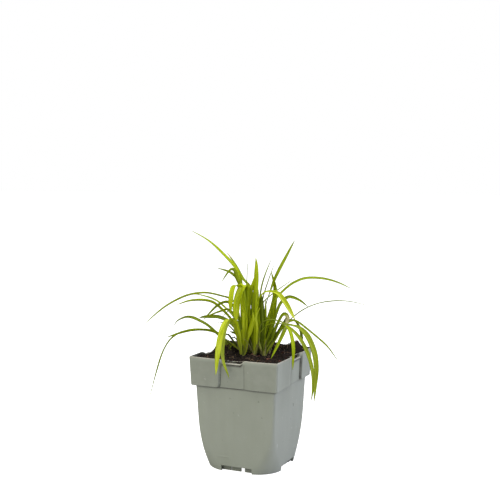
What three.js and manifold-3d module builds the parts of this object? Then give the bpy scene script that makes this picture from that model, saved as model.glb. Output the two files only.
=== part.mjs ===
// A young liriope, an ornamental grass, in a square nursery pot: the pot with its folded collar,
// the soil that fills it, and nine shoots of arching strap leaves. Millimetres, +Z up, with the
// origin on the ground under the middle of the pot. The front of the pot faces -Y.
import * as THREE from "three";
import { mergeVertices } from "three/addons/utils/BufferGeometryUtils.js";
import Module from "manifold-3d";

const wasm = await Module();
wasm.setup();

// Pot, outside
const RIM_HEIGHT = 109;
const RIM_HALF = 45;
const RIM_CHAMFER = 0.8;
const COLLAR_BOTTOM = 81.3;
const COLLAR_TAPER = 1.2;
const BODY_TOP_HALF = 40.9;
const BODY_FOOT_HALF = 37;
const TOP_CORNER_RADIUS = 2.6;
const FOOT_CORNER_RADIUS = 24.6;
const ROUNDING_ENDS_AT = 50;
const ROUNDING_POWER = 2.2;

// Pot, walls and floor
const WALL = 1.3;
const FLOOR_TOP = 7;
const FLOOR_UNDERSIDE = 5.3;
const LEDGE = 86;
const SKIRT_ROOM_TOP = 84.4;
const DRAIN_RADIUS = 3.5;
const DRAIN_RING = 22;

// Each side of the collar, measured along the side from its middle towards the plain corner:
// a proud panel, a set-back middle with a label slot behind it, a ramp, and a flush panel
const PROUD_END = -13.3;
const PROUD = 0.5;
const SETBACK = 1.8;
const RAMP_START = 9.5;
const RAMP_END = 12.5;
const SLOT_INNER = 39.6;
const SLOT_LIP = 107.4;
const DIP_LIP = 105.7;

// Foot notches and the ribs under the floor
const NOTCH_HALF = 15.7;
const FOOT_WALL = 2.2;
const RIB_SETBACK = 4;

// Soil and crowns
const GAP = 0.3;
const SOIL_LEVEL = 105.9;
const SOIL_STEP = 12;
const HEAPS = [
  { x: -25, y: 0, height: 11, spread: 7 },
  { x: 8, y: 27, height: 11.5, spread: 8 },
  { x: 27, y: 34, height: 4, spread: 8 },
  { x: 0, y: 2, height: 1.2, spread: 12 },
];
const CROWN_RADIUS = 3.1;
const CROWN_DEPTH = 12;
const CROWN_RISE = 7;

// Leaves
const LEAF_THICK = 0.95;
const LEAF_TIP_THICK = 0.65;
const LEAF_STEP = 8.5;
const CHANNEL_DEPTH = 0.2;

// The shoots, by where they stand, with their leaves
const SHOOTS = {
  front_left: {
    x: -6, y: -8, green: 0xa9b81e,
    leaves: [
      {
        to: 262, width: 4.6, turn: [60, -45],
        course: [
          [1, -5], [5, 6], [10, 20], [17, 31], [25, 36], [32, 33], [38, 23], [43, 12], [46, 1], [47, -13],
        ],
      },
      {
        to: 270, width: 4, turn: [-42, -48],
        course: [
          [0, -5], [3, 10, -2.4], [8, 22.5, -5], [14, 28.5, -7], [21, 26, -8.8], [28, 19, -8],
          [34, 11, -5.6], [39, 3, -3.2], [42, -7, 0.8], [43, -17, 5.8],
        ],
      },
      {
        to: 272, width: 6.6, turn: [0, 15],
        course: [[0, -5], [-1, 25], [1, 50], [5.5, 61], [14, 67], [24, 65], [29, 56], [31, 43]],
      },
      {
        to: 276, width: 5.4, turn: [-12, -20],
        course: [[-1, -5], [-5, 25], [-6, 48], [-2, 60], [5.5, 65], [13, 60], [18, 49], [21, 29]],
      },
      {
        to: 294, width: 5, turn: [5, 18],
        course: [
          [0, -5], [2, 10, 3], [2, 25, 5.5], [0, 45, 6.5], [-2, 59, 6], [1, 66, 3.5], [6, 62, 1.2],
          [8, 52, 1.8], [9, 40, 4],
        ],
      },
      {
        to: 286, width: 4.8, turn: [0, 10],
        course: [[0, -5], [-1, 15, 0.5], [-2, 35, 1], [-3, 56, 2]],
      },
      {
        to: 222, width: 3.6, turn: [5, 85],
        course: [[0, -5], [2, 22], [7, 42], [15, 50], [25, 47], [33, 40], [40, 32]],
      },
      {
        to: 235, width: 2.2,
        course: [[0, -5], [2, 18], [6, 37], [14, 42], [23, 36]],
      },
    ],
  },
  left: {
    x: -11, y: 2, green: 0x8fa51c,
    leaves: [
      {
        to: 204, width: 2.8, turn: [0, 20],
        course: [[0, -5], [1, 22], [6, 41], [17, 51], [34, 55], [51, 54], [67, 47], [82, 37], [95, 26]],
      },
      {
        to: 222, width: 2.8, turn: [25, 75],
        course: [[0, -5], [5, 14], [12, 29], [20, 39], [30, 47], [42, 51], [54, 50], [66, 47]],
      },
      {
        to: 190, width: 2.6, turn: [30, 60],
        course: [[0, -5], [1, 14], [4, 26], [9, 35.5], [17, 38.5], [28, 35], [39, 31]],
      },
      {
        to: 228, width: 3.2, turn: [80, 0],
        course: [[0, -5], [-3, 12], [-3, 28], [-1, 46], [1, 61], [4, 73], [9, 79.5], [15, 77.5], [22, 68]],
      },
      {
        to: 196, width: 3.2, turn: [35, 65],
        course: [[1, -5], [3.6, 2], [11, 8.6], [22, 15.3], [33, 18], [46, 18.6], [57, 16.8], [76, 10.7]],
      },
      {
        to: 218, width: 3.4, turn: [45, 10],
        course: [
          [1, -5], [3.6, 1.5], [13, 10], [24, 18], [36, 21.3], [48, 21], [60, 19.8], [69.5, 14.5], [76.5, 5],
          [84.3, -17], [91, -40],
        ],
      },
    ],
  },
  left_back: {
    x: -15, y: 11, green: 0x5b7a1a,
    leaves: [
      {
        to: 160, width: 2.8, turn: [15, -15],
        course: [[0, -4], [3, 14], [11, 27], [23, 36], [37, 43], [55, 46.5], [75, 46]],
      },
      {
        to: 165, width: 4.4, turn: [25, -75],
        course: [[1, -4], [8, 14.5], [15, 22.5], [25, 27], [36, 28], [47, 26], [58, 24.5]],
      },
      {
        to: 172, width: 3.8, turn: [10, -45],
        course: [
          [1, -4], [4, 0.5], [9, 2.6], [18, 4.4], [28, 10], [39, 17], [50, 22], [62, 25], [74, 23], [85, 14],
        ],
      },
      {
        to: 150, width: 2.6, turn: [10, -15],
        course: [[0, -4], [6, 5], [12, 12], [20, 17.5], [31, 21], [44, 19]],
      },
      {
        to: 220, width: 2.8, turn: [30, 70],
        course: [[0, -4], [3, 5.5], [5, 10.5], [9, 15.5], [14, 17.5]],
      },
      {
        to: 205, width: 2.8, turn: [35, 75],
        course: [[0, -4], [5, 1], [8, 5], [11, 9.5], [15, 14], [18.5, 12]],
      },
    ],
  },
  back_left: {
    x: -3, y: 9, green: 0x7f9a1e,
    leaves: [
      {
        to: 172, width: 4.6, turn: [-22, -5], fullTo: 0.6,
        course: [
          [0, -4], [6, 8], [10.5, 25], [13.5, 45], [15.5, 65], [23.5, 81], [37, 93], [53, 105], [72, 114],
        ],
      },
      {
        to: 148, width: 4.2, turn: [15, 5], fullTo: 0.6,
        course: [[0, -4], [1, 22], [2, 42], [6, 56.5], [17, 67], [31, 79], [46, 92]],
      },
      {
        to: 170, width: 2.4, turn: [-40, 20],
        course: [[0, -4], [5, 8], [8, 23], [9, 40], [10.5, 53], [14.5, 65], [26, 74], [43, 78]],
      },
      {
        to: 150, width: 1.8, turn: [50, 60],
        course: [[0, -4], [6, 8], [9, 20], [10.5, 36], [11, 55], [10, 70], [9, 84]],
      },
      {
        to: 108, width: 4, turn: [0, -20],
        course: [[0, -4], [3, 16], [9, 29], [18, 36], [29, 35], [38, 25], [43, 11]],
      },
    ],
  },
  middle: {
    x: 1, y: -1, green: 0xb2bc28,
    leaves: [
      {
        to: 75, width: 7, turn: [30, 0], fullTo: 0.6,
        course: [[0, -4], [-1, 18], [0.5, 36], [2, 54], [4.2, 68], [7, 79], [4.2, 91]],
      },
      {
        to: 8, width: 4, turn: [60, 62],
        course: [[0, -4], [3, 20], [4, 38], [7, 52.5], [14, 59], [24, 57.6], [33, 49], [38, 40], [43, 31]],
      },
      {
        to: 340, width: 4.6, turn: [0, 10],
        course: [[0, -4], [2, 12], [2, 25], [4, 36], [7, 44]],
      },
      {
        to: 200, width: 4.8, turn: [70, 60],
        course: [[0, -4], [2, 15], [2.6, 32], [3, 48], [2, 62]],
      },
      {
        to: 130, width: 4.4, turn: [0, 10],
        course: [[0, -4], [2, 20], [3, 40], [3, 56], [5, 62]],
      },
      {
        to: 330, width: 4.4, turn: [0, 10],
        course: [[0, -4], [2, 18], [5, 38], [6, 59]],
      },
      {
        to: 20, width: 4.4, turn: [80, 90],
        course: [[0, -4], [3.6, 4], [5.4, 18], [5.6, 46]],
      },
    ],
  },
  right: {
    x: 8, y: 5, green: 0x6d8a1b,
    leaves: [
      {
        to: 60, width: 6, turn: [60, 20], fullTo: 0.55,
        course: [[0, -4], [7, 12], [12.5, 30], [15, 44], [16.2, 57], [14.7, 68], [11, 76.5]],
      },
      {
        to: 34, width: 3, turn: [5, 55],
        course: [
          [0, -4], [1, 20], [3, 37], [11, 50.5], [24, 60], [36, 67.3], [49, 70.4], [63, 69], [77, 65],
          [90, 59],
        ],
      },
      {
        to: 62, width: 3.8, turn: [-60, 45], fullTo: 0.6,
        course: [[0, -4], [2, 28], [6, 46], [12.4, 60], [24, 80], [33, 93], [42, 106]],
      },
      {
        to: 20, width: 3.4, turn: [35, 65],
        course: [[0, -4], [8, 16], [12, 26], [15, 38], [19, 47.5], [26, 53], [36, 50.3], [45, 43.7]],
      },
      {
        to: 50, width: 2,
        course: [[0, -4], [3, 24], [7.5, 43], [14.5, 55.5], [24, 63], [35, 68.5]],
      },
      {
        to: 290, width: 5.4, turn: [0, 15],
        course: [[0, -4], [2, 12, 0], [3, 30, 0.8], [2, 56, 0]],
      },
    ],
  },
  right_back: {
    x: 13, y: 11, green: 0x557318,
    leaves: [
      {
        to: 24, width: 1.9,
        course: [
          [0, -3], [4, 7], [12, 20], [22, 31], [34, 40], [48, 46], [63, 48.3], [78, 48], [93, 45],
        ],
      },
      {
        to: 36, width: 2.6, turn: [45, 45],
        course: [
          [0, -3], [7, 14.5], [14, 24.7], [22, 28.3], [31, 24.6], [41, 17.6], [50, 10], [60.4, 0.5],
          [71, -14],
        ],
      },
      {
        to: 15, width: 1.8,
        course: [[0, -3], [8, 14], [15, 24.6], [23, 28], [33, 24.6], [43, 15], [50, 6]],
      },
      {
        to: 60, width: 3.4, turn: [-10, 90],
        course: [[0, -3], [7, 11], [14, 19.5], [25, 22], [35, 18], [41.4, 10], [42, 1.6]],
      },
      {
        to: 44, width: 4, turn: [20, 50],
        course: [[0, -3], [5, 10], [11, 22], [16, 31], [20, 36]],
      },
    ],
  },
  right_front: {
    x: 14, y: -2, green: 0x93ad24,
    leaves: [
      {
        to: 358, width: 4.2, turn: [10, 55],
        course: [
          [0, -4], [2, 15], [8.5, 26.5], [19, 29.5], [29, 24.5], [37, 16], [43, 5.3], [47, -6], [50, -18],
          [50, -34], [48, -48],
        ],
      },
      {
        to: 344, width: 5.4, turn: [22, 35],
        course: [
          [0, -4], [4, 13], [12, 24], [24, 31], [37, 30], [48, 25], [55.6, 15], [60, 4], [61, -10],
          [60, -26], [59, -40],
        ],
      },
      {
        to: 325, width: 3.6, turn: [-45, 30],
        course: [[0, -4], [7, 18], [18, 29.5], [30, 33], [39.6, 30], [46.6, 22], [49, 11], [48.5, -7]],
      },
      {
        to: 0, width: 4, turn: [60, 60],
        course: [
          [0, -4], [7, 16, 2], [12, 28, 4], [17.5, 36.4, 5], [22, 37, 3], [23.6, 30, -1], [22, 22, -8],
          [20, 11, -16], [17, 3, -21], [15, -2, -23],
        ],
      },
    ],
  },
  back: {
    x: 4, y: 17, green: 0x4f6d17,
    leaves: [
      {
        to: 80, width: 1.6,
        course: [[0, -2], [-5, 20], [-7, 36], [-5, 50], [-1, 63], [6, 75], [15, 86.5]],
      },
      {
        to: 55, width: 1.6,
        course: [[0, -2], [-2, 20], [-1.6, 38], [1.5, 53], [7, 67.5], [13, 82]],
      },
      {
        to: 116, width: 4.4, turn: [0, 20],
        course: [[0, -2], [4, 18], [11, 31], [21, 36], [31, 30], [38, 18], [41, 4]],
      },
      {
        to: 132, width: 4, turn: [0, -20],
        course: [[0, -2], [3, 20], [9, 37], [19, 46], [31, 46], [42, 38], [50, 26]],
      },
      {
        to: 98, width: 3.8, turn: [0, 20],
        course: [[0, -2], [3, 16], [9, 26], [18, 28], [27, 20], [33, 8], [36, -6]],
      },
    ],
  },
};

function toSolid(geometry) {
  const bare = geometry.clone();
  bare.deleteAttribute("normal");
  bare.deleteAttribute("uv");
  const merged = mergeVertices(bare, 1e-4);
  return new wasm.Manifold(new wasm.Mesh({
    numProp: 3,
    vertProperties: merged.attributes.position.array,
    triVerts: new Uint32Array(merged.index.array),
  }));
}

function toMesh(solid, name, material) {
  const { vertProperties, triVerts } = solid.getMesh();
  const geometry = new THREE.BufferGeometry();
  geometry.setAttribute("position", new THREE.BufferAttribute(vertProperties, 3));
  geometry.setIndex(new THREE.BufferAttribute(triVerts, 1));
  const mesh = new THREE.Mesh(geometry.toNonIndexed(), material);
  mesh.geometry.computeVertexNormals();
  mesh.name = name;
  return mesh;
}

// A closed solid through rings of equal count, each counterclockwise seen from the last one's side.
// The outline is a flat ring of the same count, which says how the two ends are filled.
function loft(rings, outline = rings[0].map((p) => new THREE.Vector2(p.x, p.y))) {
  const count = rings[0].length;
  const triangles = [];
  for (let r = 0; r + 1 < rings.length; r++) {
    for (let i = 0; i < count; i++) {
      const [a, b] = [r * count + i, r * count + ((i + 1) % count)];
      triangles.push(a, b, b + count, a, b + count, a + count);
    }
  }
  const last = (rings.length - 1) * count;
  for (const [a, b, c] of THREE.ShapeUtils.triangulateShape(outline, [])) {
    triangles.push(a, c, b, last + a, last + b, last + c);
  }
  const geometry = new THREE.BufferGeometry().setFromPoints(rings.flat());
  geometry.setIndex(triangles);
  return toSolid(geometry);
}

function box(width, depth, height, x, y, z) {
  return toSolid(new THREE.BoxGeometry(width, depth, height).translate(x, y, z));
}

function quarterTurns(make) {
  return [0, 1, 2, 3].map((turn) => make(turn).rotate([0, 0, turn * 90]));
}

// The body narrows evenly to the foot, and its corners grow rounder faster and faster.
function bodyRing(z, inset) {
  const half = BODY_FOOT_HALF + ((BODY_TOP_HALF - BODY_FOOT_HALF) * z) / COLLAR_BOTTOM - inset;
  const grown = Math.max(0, 1 - z / ROUNDING_ENDS_AT) ** ROUNDING_POWER;
  const radius = TOP_CORNER_RADIUS + (FOOT_CORNER_RADIUS - TOP_CORNER_RADIUS) * grown;
  const r = Math.max(0.8, radius - inset);
  const ring = [];
  const steps = 6;
  for (let corner = 0; corner < 4; corner++) {
    const [sx, sy] = [[1, 1], [-1, 1], [-1, -1], [1, -1]][corner];
    for (let i = 0; i <= steps; i++) {
      const a = ((corner + i / steps) * Math.PI) / 2;
      ring.push(new THREE.Vector3(sx * (half - r) + r * Math.cos(a), sy * (half - r) + r * Math.sin(a), z));
    }
  }
  return ring;
}

function body(levels, inset) {
  return loft(levels.map((z) => bodyRing(z, inset)));
}

// The collar's plan: sideProfile lists [along, out] from a proud corner to a plain one. The front
// and back run that way, the other two sides run back, so like corners face each other.
function collarRing(sideProfile, z) {
  const ring = [];
  for (let side = 0; side < 4; side++) {
    const [cos, sin] = [[1, 0], [0, 1], [-1, 0], [0, -1]][side];
    const run = side % 2 ? sideProfile.map(([t, out]) => [-t, out]).reverse() : sideProfile;
    for (const [t, out] of run) {
      ring.push(new THREE.Vector3(t * cos + out * sin, t * sin - out * cos, z));
    }
  }
  return ring;
}

function collarOutside(half) {
  return [
    [-half - PROUD + RIM_CHAMFER, half + PROUD], [PROUD_END, half + PROUD], [PROUD_END + 0.2, half - SETBACK],
    [RAMP_START, half - SETBACK], [RAMP_END, half - 0.3], [half - RIM_CHAMFER, half],
  ];
}

// Inside, the wall follows the panels and stays back behind the label slot.
function collarInside(half, slotInner, clear = 0) {
  return [
    [-half + 1, half], [PROUD_END - 2.6 - clear, half], [PROUD_END - 0.6 - clear, slotInner],
    [RAMP_START + 1.2 + clear, slotInner], [RAMP_END + 1.6 + clear, half], [half - 1, half],
  ];
}

function collarBlock(profileAt, bottom, top) {
  return loft([collarRing(profileAt(bottom), bottom), collarRing(profileAt(top), top)]);
}

function outerHalfAt(z) {
  return RIM_HALF - (COLLAR_TAPER * (RIM_HEIGHT - z)) / (RIM_HEIGHT - COLLAR_BOTTOM);
}

// What is cut from the collar's top over the set-back middle: a steep start at the proud panel,
// a level lip, and an easy curve up to the flush panel.
function dip(lip, out, depth, turn) {
  const towards = turn % 2 ? -1 : 1;
  const top = RIM_HEIGHT + 1;
  const shape = new THREE.Shape();
  shape.moveTo(PROUD_END, top);
  shape.lineTo(PROUD_END, lip);
  shape.lineTo(RAMP_START - 2, lip);
  shape.quadraticCurveTo(RAMP_START + 0.5, lip, RAMP_END - 0.8, RIM_HEIGHT - 0.4);
  shape.quadraticCurveTo(RAMP_END, RIM_HEIGHT, RAMP_END + 2, top);
  const cut = new THREE.ExtrudeGeometry(shape, { depth, bevelEnabled: false, curveSegments: 4 });
  cut.rotateX(Math.PI / 2).translate(0, -out + depth, 0);
  const solid = toSolid(cut);
  return towards > 0 ? solid : solid.mirror([1, 0, 0]);
}

function labelSlot(turn) {
  const towards = turn % 2 ? -1 : 1;
  const [from, to] = [PROUD_END + 0.8, RAMP_START];
  const out = RIM_HALF - SETBACK - WALL;
  const width = out - SLOT_INNER - WALL;
  return box(to - from, width, 24, (towards * (from + to)) / 2, -(out - width / 2), LEDGE + 1.5 + 12);
}

function footNotch() {
  return box(2 * NOTCH_HALF, 12, FLOOR_UNDERSIDE + 1, 0, -BODY_FOOT_HALF, (FLOOR_UNDERSIDE - 1) / 2);
}

// Behind the front and back notches three short ribs stand on the ground with a gap between the
// last two. Behind the other two hangs a low lip with two stubs.
function footRibs(turn) {
  const y = -(BODY_FOOT_HALF - RIB_SETBACK - WALL / 2);
  const deep = FLOOR_UNDERSIDE + 0.4;
  if (turn % 2 === 0) {
    const spans = [[-18, -7.2], [-6.4, 3.3], [7, 19]];
    return spans.map(([from, to]) => box(to - from, WALL, deep, (from + to) / 2, y, deep / 2))
      .reduce((all, rib) => all.add(rib));
  }
  const stubs = [[-18, 19, 1.3], [-1.4, 3, 2.6], [9, 18, 2.6]];
  return stubs.map(([from, to, hang]) => box(to - from, WALL, hang, (from + to) / 2, y, deep - hang / 2))
    .reduce((all, stub) => all.add(stub));
}

function makePot() {
  const levels = [0, 1.6, 5, 9, 14, 20, 27, 36, 47, 60, SKIRT_ROOM_TOP + 0.8];
  const outside = body(levels, 0);
  const insideLevels = [FLOOR_TOP, 10, 14, 20, 27, 36, 47, 60, LEDGE + 1];
  const inside = body(insideLevels, WALL)
    .add(collarBlock((z) => collarInside(outerHalfAt(z) - WALL, SLOT_INNER), LEDGE, RIM_HEIGHT + 1));
  const underside = body([-1, 1.6, FLOOR_UNDERSIDE], FOOT_WALL);
  const collar = collarBlock((z) => collarOutside(outerHalfAt(z)), COLLAR_BOTTOM, RIM_HEIGHT);
  const behindSkirt = (z) => collarOutside(outerHalfAt(z) - WALL);
  const skirtRoom = collarBlock(behindSkirt, COLLAR_BOTTOM - 1, SKIRT_ROOM_TOP).subtract(body([60, LEDGE], 0));
  let pot = outside.subtract(underside).add(collar.subtract(skirtRoom));
  for (const cut of quarterTurns(footNotch)) pot = pot.subtract(cut);
  for (const rib of quarterTurns(footRibs)) pot = pot.add(rib);
  pot = pot.subtract(inside);
  for (const cut of quarterTurns(labelSlot)) pot = pot.subtract(cut);
  for (const cut of quarterTurns((turn) => dip(DIP_LIP, RIM_HALF + 1, 4.5, turn))) pot = pot.subtract(cut);
  for (const cut of quarterTurns((turn) => dip(SLOT_LIP, RIM_HALF - 2, 5.5, turn))) pot = pot.subtract(cut);
  for (let hole = 0; hole < 8; hole++) {
    const a = (hole * Math.PI) / 4;
    const drain = new THREE.CylinderGeometry(DRAIN_RADIUS, DRAIN_RADIUS, 6, 10).rotateX(Math.PI / 2);
    drain.translate(DRAIN_RING * Math.cos(a), DRAIN_RING * Math.sin(a), FLOOR_TOP - 1);
    pot = pot.subtract(toSolid(drain));
  }
  return pot;
}

// Height of the soil: level at the walls and round each crown, heaped on the left and behind the
// clump, and lumpy.
function soilHeight(x, y) {
  const { smoothstep } = THREE.MathUtils;
  const fromWall = RIM_HALF - 1 - Math.max(Math.abs(x), Math.abs(y));
  const fromCrown = Math.min(...Object.values(SHOOTS).map((shoot) => Math.hypot(x - shoot.x, y - shoot.y)));
  const open = smoothstep(fromWall, 0, 9) * smoothstep(fromCrown, 4, 11);
  const lumps = 0.5 * Math.sin(0.9 * x + 1.3) * Math.sin(0.8 * y) + 0.4 * Math.sin(0.5 * x - 0.6 * y);
  let height = SOIL_LEVEL + smoothstep(fromWall, 0, 9) * lumps;
  for (const heap of HEAPS) {
    const away = Math.hypot(x - heap.x, y - heap.y) / heap.spread;
    height += open * heap.height * Math.exp(-(away ** 2) / 2);
  }
  return height;
}

function makeSoil(crowns) {
  const levels = [FLOOR_TOP + GAP, 10, 14, 20, 27, 36, 47, 60, LEDGE + 1.2];
  const lower = body(levels, WALL + GAP);
  const outline = (z) => {
    const half = outerHalfAt(z) - WALL - GAP;
    return collarRing(collarInside(half, SLOT_INNER - GAP, GAP), z);
  };
  const corners = outline(SOIL_LEVEL);
  const parts = corners.map((p, i) => Math.ceil(p.distanceTo(corners[(i + 1) % corners.length]) / SOIL_STEP));
  const spread = (ring) => ring.flatMap((p, i) => Array.from({ length: parts[i] }, (_, k) => (
    p.clone().lerp(ring[(i + 1) % ring.length], k / parts[i])
  )));
  const rim = spread(corners);
  const rings = [spread(outline(LEDGE + GAP))];
  for (const share of [1, 0.9, 0.8, 0.7, 0.6, 0.5, 0.4, 0.28, 0.16, 0.05]) {
    rings.push(rim.map((p) => {
      const [x, y] = [p.x * share, p.y * share];
      return new THREE.Vector3(x, y, soilHeight(x, y));
    }));
  }
  let soil = lower.add(loft(rings));
  for (const { x, y } of crowns) {
    const radius = CROWN_RADIUS + GAP;
    const hole = new THREE.CylinderGeometry(radius, radius, 30, 10).rotateX(Math.PI / 2);
    soil = soil.subtract(toSolid(hole.translate(x, y, soilHeight(x, y) - CROWN_DEPTH - GAP + 15)));
  }
  return soil;
}

// The sunk crown that a shoot's leaves grow out of, sheathed a little way up.
function makeCrown(x, y) {
  const ground = soilHeight(x, y);
  const profile = [
    [0, -CROWN_DEPTH], [CROWN_RADIUS - 0.5, -CROWN_DEPTH], [CROWN_RADIUS, -CROWN_DEPTH + 2],
    [CROWN_RADIUS, -0.5], [CROWN_RADIUS - 0.5, 2], [1.6, CROWN_RISE], [0, CROWN_RISE],
  ].map(([r, z]) => new THREE.Vector2(r, z));
  return toSolid(new THREE.LatheGeometry(profile, 8).rotateX(Math.PI / 2).translate(x, y, ground));
}

// One strap leaf. Its course is a list of [reach, height, aside] in the upright plane through the
// crown that faces its heading in degrees; height counts from the rim. The blade is turned about
// its own line by the two angles at its root and its tip, and narrows past fullTo of its length.
function makeLeaf(crown, { to, width, turn = [0, 0], fullTo = 0.7, course }) {
  const heading = THREE.MathUtils.degToRad(to);
  const ahead = new THREE.Vector3(Math.cos(heading), Math.sin(heading), 0);
  const aside = new THREE.Vector3(-Math.sin(heading), Math.cos(heading), 0);
  const points = course.map(([reach, height, side = 0]) => (
    new THREE.Vector3(crown.x, crown.y, RIM_HEIGHT + height)
      .addScaledVector(ahead, reach)
      .addScaledVector(aside, side)
  ));
  const curve = new THREE.CatmullRomCurve3(points, false, "centripetal");
  const steps = Math.round(curve.getLength() / LEAF_STEP) + 1;
  const rings = [];
  for (let i = 0; i <= steps; i++) {
    const u = i / steps;
    const at = curve.getPointAt(u);
    const along = curve.getTangentAt(u);
    const across = aside.clone().addScaledVector(along, -aside.dot(along)).normalize();
    across.applyAxisAngle(along, THREE.MathUtils.degToRad(THREE.MathUtils.lerp(turn[0], turn[1], u)));
    const up = along.clone().cross(across);
    const widening = 0.55 + 0.45 * THREE.MathUtils.smoothstep(u, 0, 0.4);
    const taper = 1 - 0.84 * Math.max(0, (u - fullTo) / (1 - fullTo)) ** 1.6;
    const half = (width * widening * taper) / 2;
    const thick = THREE.MathUtils.lerp(LEAF_THICK, LEAF_TIP_THICK, u);
    const edge = 2 * half * CHANNEL_DEPTH;
    const section = [[half, edge], [0, thick / 3], [-half, edge], [0, (-2 * thick) / 3]];
    rings.push(section.map(([s, n]) => at.clone().addScaledVector(across, s).addScaledVector(up, n)));
  }
  const kite = [[1, 0.4], [0, 0.1], [-1, 0.4], [0, -0.4]].map(([x, y]) => new THREE.Vector2(x, y));
  return loft(rings, kite);
}

// A crown and its leaves as one body. Keeping the largest piece fills any hollow sealed between
// blades.
function makeShoot({ x, y, leaves }) {
  let shoot = makeCrown(x, y);
  for (const leaf of leaves) shoot = shoot.add(makeLeaf({ x, y }, leaf));
  return shoot.decompose().reduce((large, piece) => (piece.volume() > large.volume() ? piece : large));
}

const potPlastic = new THREE.MeshStandardMaterial({ color: 0x8c9184, roughness: 0.6, metalness: 0 });
const soilEarth = new THREE.MeshStandardMaterial({ color: 0x2a1c15, roughness: 1, metalness: 0 });

const group = new THREE.Group();
group.add(toMesh(makePot(), "pot", potPlastic));
group.add(toMesh(makeSoil(Object.values(SHOOTS)), "soil", soilEarth));
for (const [place, shoot] of Object.entries(SHOOTS)) {
  const leafGreen = new THREE.MeshStandardMaterial({ color: shoot.green, roughness: 0.5, metalness: 0 });
  group.add(toMesh(makeShoot(shoot), `shoot_${place}`, leafGreen));
}

export default group;
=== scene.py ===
# A young liriope, an ornamental grass, in a square nursery pot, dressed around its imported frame.
# Metres, +Z up, with the origin on the ground under the middle of the pot, whose front faces -Y.
# Sizes of the pieces are written in millimetres, and each mesh is scaled to metres at its end.
import math
import random

import bmesh
import bpy
from mathutils import Matrix, Vector, noise
from mathutils.geometry import interpolate_bezier


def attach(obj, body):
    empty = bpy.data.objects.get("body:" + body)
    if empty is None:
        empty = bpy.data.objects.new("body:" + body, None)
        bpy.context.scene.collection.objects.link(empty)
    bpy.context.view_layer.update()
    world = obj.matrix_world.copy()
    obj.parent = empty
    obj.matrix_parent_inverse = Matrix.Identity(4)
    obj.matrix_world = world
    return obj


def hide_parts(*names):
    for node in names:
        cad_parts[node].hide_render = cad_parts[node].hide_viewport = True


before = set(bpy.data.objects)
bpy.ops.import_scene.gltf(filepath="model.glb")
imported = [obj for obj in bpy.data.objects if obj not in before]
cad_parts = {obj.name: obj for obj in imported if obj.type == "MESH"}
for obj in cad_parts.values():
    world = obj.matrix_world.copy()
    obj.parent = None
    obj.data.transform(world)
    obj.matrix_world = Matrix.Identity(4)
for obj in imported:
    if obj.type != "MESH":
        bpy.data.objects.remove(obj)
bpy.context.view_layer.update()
scene = bpy.context.scene

# Camera. It looks down a little on the pot's front, from 0.9 m away and from the right of its
# middle, through a longish lens.
CAMERA_PLACE = Vector((0.3446, -0.7898, 0.2784))
CAMERA_AHEAD = Vector((-0.4006, 0.9126, -0.0819))
SENSOR_WIDE = 36
LENS_LONG = 64.8

lens = bpy.data.cameras.new("camera")
lens.sensor_width = SENSOR_WIDE
lens.lens = LENS_LONG
camera = bpy.data.objects.new("camera", lens)
camera.location = CAMERA_PLACE
camera.rotation_euler = CAMERA_AHEAD.to_track_quat("-Z", "Y").to_euler()
scene.collection.objects.link(camera)
scene.camera = camera
scene.view_settings.view_transform = "Standard"


# Studio. A plain pale floor that runs out of sight in a white room, with one broad soft light
# overhead, a warm one from the front left and a cool one from the right. Floor and room look
# whiter than the light that they give back, as in a picture exposed for the object.
FLOOR_HALF = 12
ROOM_LIGHT = 0.45
LIT_PLACE = Vector((0, 0, 0.1))
SOFT_BOXES = {
    "overhead": dict(at=(0, -0.1, 1.4), size=1.1, watts=17, color=(1, 0.99, 0.96)),
    "front_left": dict(at=(-0.6, -1.4, 0.9), size=0.9, watts=14.8, color=(1, 0.98, 0.9)),
    "right": dict(at=(1.4, 0.1, 0.8), size=0.9, watts=21.2, color=(0.735, 0.755, 1)),
}


def add_node(tree, kind, inputs=None, **settings):
    """Adds a shader node. Each input is a number, a colour or another node's socket."""
    node = tree.nodes.new(kind)
    for name, value in settings.items():
        setattr(node, name, value)
    for socket, value in (inputs or {}).items():
        if isinstance(value, bpy.types.NodeSocket):
            tree.links.new(value, node.inputs[socket])
        else:
            node.inputs[socket].default_value = value
    return node


def new_material(name):
    """A node material with nothing but its output, and its node tree."""
    material = bpy.data.materials.new(name)
    material.use_nodes = True
    tree = material.node_tree
    tree.nodes.clear()
    tree.nodes.new("ShaderNodeOutputMaterial")
    return material, tree


def show(shader):
    """Gives a shader's socket to the output of its material."""
    tree = shader.id_data
    tree.links.new(shader, tree.nodes["Material Output"].inputs["Surface"])


room = bpy.data.worlds.new("room")
room.use_nodes = True
tree = room.node_tree
seen = add_node(tree, "ShaderNodeLightPath").outputs["Is Camera Ray"]
strength = add_node(tree, "ShaderNodeMapRange", {"Value": seen, "To Min": ROOM_LIGHT, "To Max": 1})
backdrop = tree.nodes["Background"]
backdrop.inputs["Color"].default_value = (1, 1, 1, 1)
tree.links.new(strength.outputs["Result"], backdrop.inputs["Strength"])
scene.world = room

for name, box in SOFT_BOXES.items():
    light = bpy.data.lights.new(name, "AREA")
    light.size = box["size"]
    light.energy = box["watts"]
    light.color = box["color"]
    lamp = bpy.data.objects.new(name, light)
    lamp.location = box["at"]
    lamp.rotation_euler = (LIT_PLACE - lamp.location).to_track_quat("-Z", "Y").to_euler()
    scene.collection.objects.link(lamp)

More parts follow.
